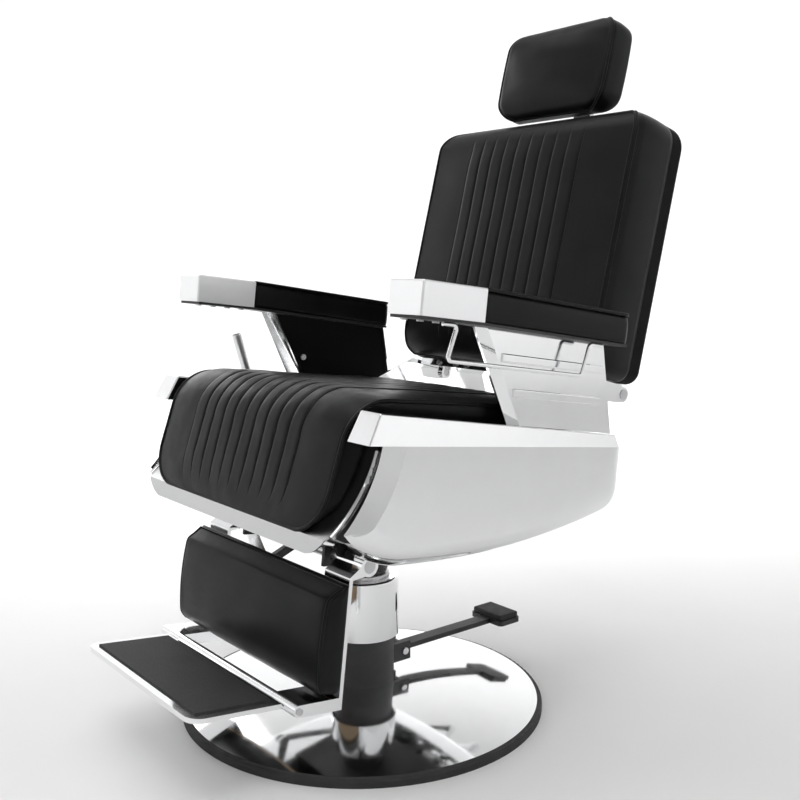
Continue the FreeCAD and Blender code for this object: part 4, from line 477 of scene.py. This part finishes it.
def back_form(across, height):
    """Channels of the back, faded out at foot and top."""
    fade = ease(height, *BACK_SEWN_FOOT) * ease(BACK_HIGH - height, *BACK_SEWN_TOP)
    uneven = ripple(across, height, *BACK_UNEVEN)
    swell, seam = channel_form(across, BACK_SEAM_HALF, BACK_CHANNELS)
    return (swell - seam * pucker(height) + uneven) * fade


def back_heights(rows):
    """Heights that lie closer together at foot and top."""
    return [BACK_HIGH * share for share in cosine_steps(rows)]


def back_cushion(material):
    """Cover of the back, with sewn channels between plain borders."""
    places = column_places(BACK_SEAM, BACK_SEAM_HALF, BACK_CHANNELS, per_channel=16, per_border=24)
    columns = [place / BACK_SEAM for place in places]
    rings = []
    for height in back_heights(200):
        half = back_half(height)
        fade = ease(height, *BACK_CROWN_FOOT) * ease(BACK_HIGH - height, *BACK_CROWN_TOP)
        crown = BACK_CROWN * (BACK_END_SHARE + (1 - BACK_END_SHARE) * fade)
        rings.append(pad_ring(height, half, back_front(height), BACK_SOFT, crown, back_edge(half),
                              columns, back_form, BACK_FLARE))
    cushion = new_object("back_cushion_cover", lofted("back_cushion_cover", rings, BACK), "back",
                         material)
    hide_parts("back_cushion")


def back_welts(material):
    """Two slim welts round the front panel of the back, one each side of its edge."""
    heights = [height for height in back_heights(130) if WELT_MARGIN < height < BACK_HIGH - WELT_MARGIN]
    for name, turn in WELT_TURNS.items():
        side = []
        for height in heights:
            half = back_half(height)
            edge = back_edge(half)
            side.append(Vector((half - BACK_FLARE - edge + edge * math.sin(turn),
                                back_front(height) + edge - edge * math.cos(turn), height)))
        mesh = tube(f"back_welt_{name}", side + mirrored(side), BACK_WELT, BACK, closed=True)
        new_object(f"back_welt_{name}", mesh, "back", material)


def leg_front(height):
    """Front line of the leg rest pad: bulging face under a sloped top."""
    slope_foot = LEG_TOP - LEG_SLOPE
    if height > slope_foot:
        start = LEG_FACE + LEG_SHOULDER
        end = LEG_BACK - LEG_RIDGE
        return start + (end - start) * (height - slope_foot) / LEG_SLOPE
    middle = (slope_foot + LEG_FOOT) / 2
    bow = LEG_BOW * ((height - middle) / (slope_foot - middle)) ** 2
    toe = LEG_TOE_DEEP * (1 - quarter(height - LEG_FOOT, LEG_TOE_HIGH))
    brow = LEG_BROW_DEEP * (1 - quarter(slope_foot - height, LEG_BROW_HIGH))
    return LEG_FACE + bow + toe + brow


def legrest_pad(material, trim):
    """Cover of the leg rest with piping round its face."""
    columns = even_columns(20)
    rows = 48
    rings = []
    edge_line = []
    for number in range(rows + 1):
        height = LEG_FOOT + (LEG_TOP - LEG_FOOT) * number / rows
        half = LEG_HALF - LEG_CORNER * (1 - quarter(height - LEG_FOOT, LEG_CORNER))
        front = leg_front(height)
        edge = min(LEG_EDGE, (LEG_BACK - front) * LEG_EDGE_SHARE)
        crown = LEG_CROWN * ease(LEG_TOP - height, *LEG_CROWN_FADE)
        rings.append(pad_ring(height, half, front, LEG_BACK, crown, edge, columns,
                              lambda across, z: ripple(across, z, *LEG_UNEVEN)))
        edge_line.append(Vector((half - edge * LEG_PIPING_IN, front + edge * LEG_PIPING_BACK, height)))
    pad = new_object("legrest_pad_cover", lofted("legrest_pad_cover", rings, SEAT), "legrest",
                     material)
    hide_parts("legrest_pad")
    side = edge_line[2:-1]
    mesh = tube("legrest_piping", side + mirrored(side), SLIM_PIPING, SEAT, closed=True)
    new_object("legrest_piping", mesh, "legrest", trim)


def headrest_pad(material, trim):
    """Cover of the headrest with piping round its face."""
    columns = even_columns(16)
    rings = []
    edge_line = []
    for part in cosine_steps(56):
        height = HEAD_LOW + (HEAD_TOP - HEAD_LOW) * part
        reach = min(height - HEAD_LOW, HEAD_TOP - height)
        corner = HEAD_CORNER * (1 - quarter(reach, HEAD_CORNER))
        half = HEAD_HALF - corner - HEAD_WAIST * (2 * part - 1) ** 2
        front = HEAD_FRONT + HEAD_CROWN + HEAD_NOSE_DEEP * (1 - quarter(reach, HEAD_NOSE_HIGH))
        back = HEAD_BACK - HEAD_NAPE_DEEP * (1 - quarter(reach, HEAD_NAPE_HIGH))
        crown = HEAD_CROWN * ease(reach, *HEAD_CROWN_FADE)
        rings.append(pad_ring(height, half, front, back, crown, HEAD_EDGE, columns,
                              lambda across, z: ripple(across, z, *HEAD_UNEVEN)))
        edge_line.append(Vector((half - HEAD_PIPING_IN, front + HEAD_PIPING_BACK, height)))
    pad = new_object("headrest_pad_cover", lofted("headrest_pad_cover", rings, BACK), "headrest",
                     material)
    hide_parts("headrest_pad")
    side = edge_line[1:-1]
    mesh = tube("headrest_piping", side + mirrored(side), SLIM_PIPING, BACK, closed=True)
    new_object("headrest_piping", mesh, "headrest", trim)


# Arm pads: rings of a section at growing distances behind the cap
def pad_base(along):
    """Height of the underside of an arm pad, which falls to the rear."""
    return PAD_BASE - PAD_DROP * (along - PAD_FRONT) / (PAD_REAR - PAD_FRONT)


def arm_ring(along, shrink):
    """Section of an arm pad, drawn in by shrink at its rounded rear end."""
    base = pad_base(along)
    top = base + PAD_HIGH - shrink * PAD_END_FALL
    middle = (PAD_INNER + PAD_OUTER) / 2
    half = (PAD_OUTER - PAD_INNER) / 2 - shrink
    edge = top - PAD_CROWN
    side_foot = base + PAD_FOOT
    side_top = edge - 2 * ARM_PIPING
    right = [Vector((half - PAD_FOOT_IN, 0, base)), Vector((half - PAD_BEVEL, 0, base + PAD_BEVEL))]
    side_steps = 12
    for step in range(1, side_steps + 1):
        part = step / side_steps
        bow = PAD_BOW * math.sin(math.pi * part) - PAD_ROLL * part ** PAD_ROLL_POWER
        right.append(Vector((half - PAD_BOW + bow, 0, side_foot + (side_top - side_foot) * part)))
    flat = half - PAD_NOTCH
    right.append(Vector((flat + PAD_NOTCH_LOW[0], 0, side_top + PAD_NOTCH_LOW[1])))
    right.append(Vector((flat + PAD_NOTCH_HIGH[0], 0, edge + PAD_NOTCH_HIGH[1])))
    top_steps = 10
    for step in range(top_steps):
        across = flat * (1 - step / top_steps)
        swell = PAD_CROWN * (1 - (across / flat) ** 2)
        right.append(Vector((across, 0, edge + swell)))
    crest = [Vector((0, 0, top))]
    ring = []
    for point in right + crest + mirrored(right):
        uneven = ripple(point.x, along, point.z, *PAD_UNEVEN) * ease(point.z, base + PAD_EVEN_FOOT, top)
        ring.append(Vector((middle + point.x, along, point.z + uneven)))
    return ring


def arm_piping_line(places):
    """Line of the piping: back along the outer edge, round the rear end and forward again."""
    inset = ARM_PIPING - ARM_PIPING_PROUD
    rise = PAD_HIGH - PAD_CROWN - ARM_PIPING + ARM_PIPING_RISE
    outer = [Vector((PAD_OUTER - inset, along, pad_base(along) + rise)) for along in places]
    rear = outer[-1]
    reach = PAD_END - inset
    for turn in quarter_turns(6):
        across = PAD_OUTER - PAD_END + reach * math.cos(turn)
        outer.append(Vector((across, rear.y + reach * math.sin(turn), rear.z)))
    inner = [Vector((PAD_INNER + PAD_OUTER - point.x, point.y, point.z)) for point in outer[::-1]]
    return outer + inner


def arm_pads(material, trim):
    """Covers of both arm pads with piping round their tops."""
    bend = PAD_REAR - PAD_END
    steps = 60
    places = [PAD_FRONT + (bend - PAD_FRONT) * number / steps for number in range(steps + 1)]
    rings = [arm_ring(along, 0) for along in places]
    for turn in quarter_turns(8)[:-1]:
        rings.append(arm_ring(bend + PAD_END * math.sin(turn), PAD_END * (1 - math.cos(turn))))
    line = arm_piping_line(places)
    for side, name in ((1, "left"), (-1, "right")):
        flip = SEAT @ Matrix.Scale(side, 4, (1, 0, 0))
        mesh = lofted(f"arm_pad_{name}_cover", rings, flip)
        if side > 0:
            mesh.flip_normals()
        pad = new_object(f"arm_pad_{name}_cover", mesh, "seat", material)
        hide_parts(f"arm_pad_{name}")
        new_object(f"arm_piping_{name}", tube(f"arm_piping_{name}", line, ARM_PIPING, flip), "seat",
                   trim)


# Materials
def shader(name, colour, metallic, rough):
    """A material with its principled shader and shared object coordinates."""
    material = bpy.data.materials.new(name)
    material.use_nodes = True
    tree = material.node_tree
    surface = tree.nodes["Principled BSDF"]
    surface.inputs["Base Color"].default_value = (*colour, 1)
    surface.inputs["Metallic"].default_value = metallic
    surface.inputs["Roughness"].default_value = rough
    place = tree.nodes.new("ShaderNodeTexCoord").outputs["Object"]
    return material, tree, surface, place


def noise_node(tree, place, scale, detail, rough=0.5):
    """A noise pattern over the object's coordinates."""
    node = tree.nodes.new("ShaderNodeTexNoise")
    node.inputs["Scale"].default_value = scale
    node.inputs["Detail"].default_value = detail
    node.inputs["Roughness"].default_value = rough
    tree.links.new(place, node.inputs["Vector"])
    return node.outputs["Fac"]


def stretched(tree, place, scale):
    """Coordinates stretched by a scale along each axis."""
    node = tree.nodes.new("ShaderNodeMapping")
    node.inputs["Scale"].default_value = scale
    tree.links.new(place, node.inputs["Vector"])
    return node.outputs["Vector"]


def spread(tree, value, low, high):
    """Map the used part of a pattern to a range."""
    node = tree.nodes.new("ShaderNodeMapRange")
    node.inputs["From Min"].default_value = PATTERN_LOW
    node.inputs["From Max"].default_value = PATTERN_HIGH
    node.inputs["To Min"].default_value = low
    node.inputs["To Max"].default_value = high
    tree.links.new(value, node.inputs["Value"])
    return node.outputs["Result"]


def blend_colours(tree, value, first, second):
    """Map the used part of a pattern to colours between two."""
    node = tree.nodes.new("ShaderNodeValToRGB")
    node.color_ramp.elements[0].position = PATTERN_LOW
    node.color_ramp.elements[1].position = PATTERN_HIGH
    node.color_ramp.elements[0].color = (*first, 1)
    node.color_ramp.elements[1].color = (*second, 1)
    tree.links.new(value, node.inputs["Fac"])
    return node.outputs["Color"]


def bump(tree, surface, height, strength, distance, before=None):
    """Relief of a surface from a pattern, over an earlier relief where there is one."""
    node = tree.nodes.new("ShaderNodeBump")
    node.inputs["Strength"].default_value = strength
    node.inputs["Distance"].default_value = distance
    tree.links.new(height, node.inputs["Height"])
    if before is not None:
        tree.links.new(before, node.inputs["Normal"])
    tree.links.new(node.outputs["Normal"], surface.inputs["Normal"])
    return node.outputs["Normal"]


def leather(name, dark, light, rough_low, rough_high):
    """Black leatherette: pebbled grain, faint creases and uneven gloss."""
    material, tree, surface, place = shader(name, dark, 0, rough_low)
    cells = tree.nodes.new("ShaderNodeTexVoronoi")
    cells.feature = "SMOOTH_F1"
    cells.inputs["Scale"].default_value = 620
    cells.inputs["Smoothness"].default_value = 0.35
    tree.links.new(place, cells.inputs["Vector"])
    creases = noise_node(tree, place, scale=95, detail=6, rough=0.62)
    first = bump(tree, surface, creases, strength=0.05, distance=0.0004)
    bump(tree, surface, cells.outputs["Distance"], strength=0.06, distance=0.0002, before=first)
    cloud = noise_node(tree, place, scale=14, detail=4)
    tree.links.new(blend_colours(tree, cloud, dark, light), surface.inputs["Base Color"])
    tree.links.new(spread(tree, creases, rough_low, rough_high), surface.inputs["Roughness"])
    surface.inputs["Specular IOR Level"].default_value = DULL_SPECULAR
    return material


def chrome(name, colour, rough_low, rough_high):
    """Plated steel with faint haze and a trace of waviness."""
    material, tree, surface, place = shader(name, colour, 1, rough_low)
    haze = noise_node(tree, place, scale=22, detail=5, rough=0.6)
    tree.links.new(spread(tree, haze, rough_low, rough_high), surface.inputs["Roughness"])
    tint = tuple(part * 0.975 for part in colour)
    tree.links.new(blend_colours(tree, haze, tint, colour), surface.inputs["Base Color"])
    wave = noise_node(tree, place, scale=9, detail=2)
    bump(tree, surface, wave, strength=0.04, distance=0.0008)
    return material


def enamel(name, dark, light, rough):
    """Sprayed enamel with fine orange peel."""
    material, tree, surface, place = shader(name, dark, 0, rough)
    peel = noise_node(tree, place, scale=420, detail=3)
    cloud = noise_node(tree, place, scale=18, detail=3)
    tree.links.new(blend_colours(tree, cloud, dark, light), surface.inputs["Base Color"])
    tree.links.new(spread(tree, cloud, rough, rough + 0.1), surface.inputs["Roughness"])
    bump(tree, surface, peel, strength=0.12, distance=0.0004)
    surface.inputs["Coat Weight"].default_value = 0.1
    surface.inputs["Coat Roughness"].default_value = 0.15
    return material


def grained(name, dark, light, rough, scale, depth):
    """Moulded or cast surface with a fine even grain."""
    material, tree, surface, place = shader(name, dark, 0, rough)
    grain = noise_node(tree, place, scale, detail=5, rough=0.65)
    cloud = noise_node(tree, place, scale=25, detail=3)
    tree.links.new(blend_colours(tree, cloud, dark, light), surface.inputs["Base Color"])
    tree.links.new(spread(tree, grain, rough - 0.08, rough + 0.08), surface.inputs["Roughness"])
    bump(tree, surface, grain, strength=depth, distance=0.0006)
    return material


def turned_metal(name, colour, rough):
    """Machined metal with fine tool marks."""
    material, tree, surface, place = shader(name, colour, 1, rough)
    marks = noise_node(tree, stretched(tree, place, (40, 900, 900)), scale=1, detail=3)
    tree.links.new(spread(tree, marks, rough - 0.08, rough + 0.1), surface.inputs["Roughness"])
    shade = tuple(part * 0.85 for part in colour)
    tree.links.new(blend_colours(tree, marks, shade, colour), surface.inputs["Base Color"])
    bump(tree, surface, marks, strength=0.06, distance=0.0003)
    return material


def plywood(name, dark, light):
    """Raw board with long grain."""
    material, tree, surface, place = shader(name, dark, 0, 0.6)
    grain = noise_node(tree, stretched(tree, place, (8, 160, 160)), scale=1, detail=6, rough=0.6)
    tree.links.new(blend_colours(tree, grain, dark, light), surface.inputs["Base Color"])
    bump(tree, surface, grain, strength=0.15, distance=0.0005)
    return material


def dress_frame(slots, special):
    """Give each carried-over node the material of its record slot, or one of its own."""
    for entry in frame["record"]["subparts"]:
        node = frame["nodes"][entry["node"]]
        material = special.get(entry["node"], slots[entry["material_slot"]])
        for number in range(len(node.material_slots)):
            node.material_slots[number].link = "OBJECT"
            node.material_slots[number].material = material


# Stage: a pale bowl, so that the floor runs into the background on every side
def stage():
    """Flat floor, a quarter round and an upright wall, turned about the middle."""
    sides = 40
    turns = [math.pi * 2 * number / sides for number in range(sides)]
    outline = [(FLOOR_HOLE, 0.0), (FLOOR_FLAT, 0.0)]
    outline += [(FLOOR_FLAT + FLOOR_RISE * math.sin(turn), FLOOR_RISE - FLOOR_RISE * math.cos(turn))
                for turn in quarter_turns(12)]
    outline += [(FLOOR_FLAT + FLOOR_RISE, FLOOR_RISE + WALL_STEP * step) for step in range(1, WALL_STEPS + 1)]
    points = [(math.cos(turn) * radius, math.sin(turn) * radius, height)
              for radius, height in outline for turn in turns]
    faces = []
    for row in range(len(outline) - 1):
        base = row * sides
        for step in range(sides):
            after = (step + 1) % sides
            faces.append((base + step, base + after, base + sides + after, base + sides + step))
    faces.append(tuple(range(sides))[::-1])
    mesh = bpy.data.meshes.new("floor")
    mesh.from_pydata(points, [], faces)
    mesh.polygons.foreach_set("use_smooth", [True] * len(faces))
    material, tree, surface, place = shader("floor_paint", (0.9, 0.9, 0.9), 0, 0.7)
    cloud = noise_node(tree, place, scale=3, detail=3)
    paint = blend_colours(tree, cloud, (0.89, 0.89, 0.89), (0.91, 0.91, 0.91))
    tree.links.new(paint, surface.inputs["Base Color"])
    mesh.materials.append(material)
    floor = bpy.data.objects.new("floor", mesh)
    bpy.context.scene.collection.objects.link(floor)


def area_light(name, place, target, wide, high, power):
    """A rectangular light at a place, turned to a target."""
    data = bpy.data.lights.new(name, "AREA")
    data.shape = "RECTANGLE"
    data.size = wide
    data.size_y = high
    data.energy = power
    light = bpy.data.objects.new(name, data)
    light.location = place
    light.rotation_euler = (Vector(target) - Vector(place)).to_track_quat("-Z", "Y").to_euler()
    bpy.context.scene.collection.objects.link(light)


def lights():
    """Soft studio: an even world, three lights on the chair and four on the bowl round it."""
    world = bpy.data.worlds.new("studio")
    world.use_nodes = True
    background = world.node_tree.nodes["Background"]
    background.inputs["Color"].default_value = (1, 1, 1, 1)
    background.inputs["Strength"].default_value = WORLD_STRENGTH
    bpy.context.scene.world = world
    area_light("top", (-0.5, -0.2, 3.3), (-0.3, 0.0, 0), wide=2.6, high=2.6, power=26)
    area_light("key", (-3.1, -2.3, 2.1), (0, 0, 0.5), wide=2.6, high=2.0, power=2)
    area_light("left", (-3.4, 0.3, 2.0), (0, 0, 0.6), wide=1.8, high=1.8, power=15)
    area_light("backdrop", (-1.8, 1.6, 3.3), (-4.6, 4.0, 0.4), wide=2.4, high=2.0, power=250)
    area_light("front_wash", (-3.3, -2.9, 3.3), (-6.2, -5.4, 1.0), wide=2.4, high=2.0, power=88)
    area_light("side_wash", (3.8, 3.1, 3.2), (7.4, 6.0, 2.1), wide=2.4, high=2.0, power=80)
    area_light("camera_wash", (1.2, -1.5, 3.4), (2.6, -3.2, 0.0), wide=1.8, high=1.8, power=45)


def camera():
    """Camera at the place and angle from which the photograph was taken."""
    data = bpy.data.cameras.new("camera")
    data.lens = CAMERA_LENS
    data.sensor_width = CAMERA_SENSOR
    data.clip_start = CAMERA_NEAR
    data.clip_end = CAMERA_FAR
    item = bpy.data.objects.new("camera", data)
    level = math.cos(CAMERA_PITCH)
    back = Vector((math.sin(CAMERA_YAW) * level, -math.cos(CAMERA_YAW) * level, math.sin(CAMERA_PITCH)))
    right = Vector((math.cos(CAMERA_YAW), math.sin(CAMERA_YAW), 0))
    up = back.cross(right)
    turn = Matrix((right, up, back)).transposed().to_4x4()
    item.matrix_world = Matrix.Translation(CAMERA_PLACE) @ turn
    bpy.context.scene.collection.objects.link(item)
    bpy.context.scene.camera = item


bpy.context.scene.view_settings.view_transform = "Standard"
hide = leather("black_leather", (0.0055, 0.0055, 0.0057), (0.0088, 0.0088, 0.0091),
               rough_low=0.28, rough_high=0.38)
trim = leather("piping_leather", (0.0055, 0.0055, 0.0057), (0.0085, 0.0085, 0.0088),
               rough_low=0.36, rough_high=0.46)
plate = chrome("chrome", (0.90, 0.905, 0.91), rough_low=0.05, rough_high=0.11)
satin = chrome("satin_chrome", (0.91, 0.915, 0.92), rough_low=0.29, rough_high=0.36)
grey_plate = chrome("pan_chrome", (0.55, 0.553, 0.557), rough_low=0.16, rough_high=0.24)
panel = grained("black_panel", (0.0015, 0.0015, 0.0015), (0.0025, 0.0025, 0.0025),
                rough=0.7, scale=600, depth=0.12)
panel.node_tree.nodes["Principled BSDF"].inputs["Specular IOR Level"].default_value = DULL_SPECULAR
slot_looks = {
    "chrome": plate,
    "black_leather": hide,
    "black_enamel": enamel("black_enamel", (0.010, 0.010, 0.0105), (0.016, 0.016, 0.0165), rough=0.45),
    "black_panel": panel,
    "board": plywood("board", (0.33, 0.22, 0.13), (0.5, 0.38, 0.25)),
    "rubber": grained("rubber", (0.016, 0.016, 0.016), (0.024, 0.024, 0.024),
                      rough=0.7, scale=350, depth=0.2),
    "steel": turned_metal("steel", (0.62, 0.62, 0.63), rough=0.28),
    "iron": grained("iron", (0.03, 0.03, 0.032), (0.045, 0.045, 0.047), rough=0.5, scale=240, depth=0.35),
    "bronze": turned_metal("bronze", (0.6, 0.45, 0.25), rough=0.3),
}
piece_looks = {
    "arm_cap_left": satin,
    "arm_cap_right": satin,
    "recline_lever": satin,
    "seat_pan": grey_plate,
    "headrest_post": grey_plate,
}
dress_frame(slot_looks, piece_looks)
seat_cushion(hide)
seat_piping(trim)
back_cushion(hide)
back_welts(trim)
arm_pads(hide, trim)
legrest_pad(hide, trim)
headrest_pad(hide, trim)
stage()
lights()
camera()
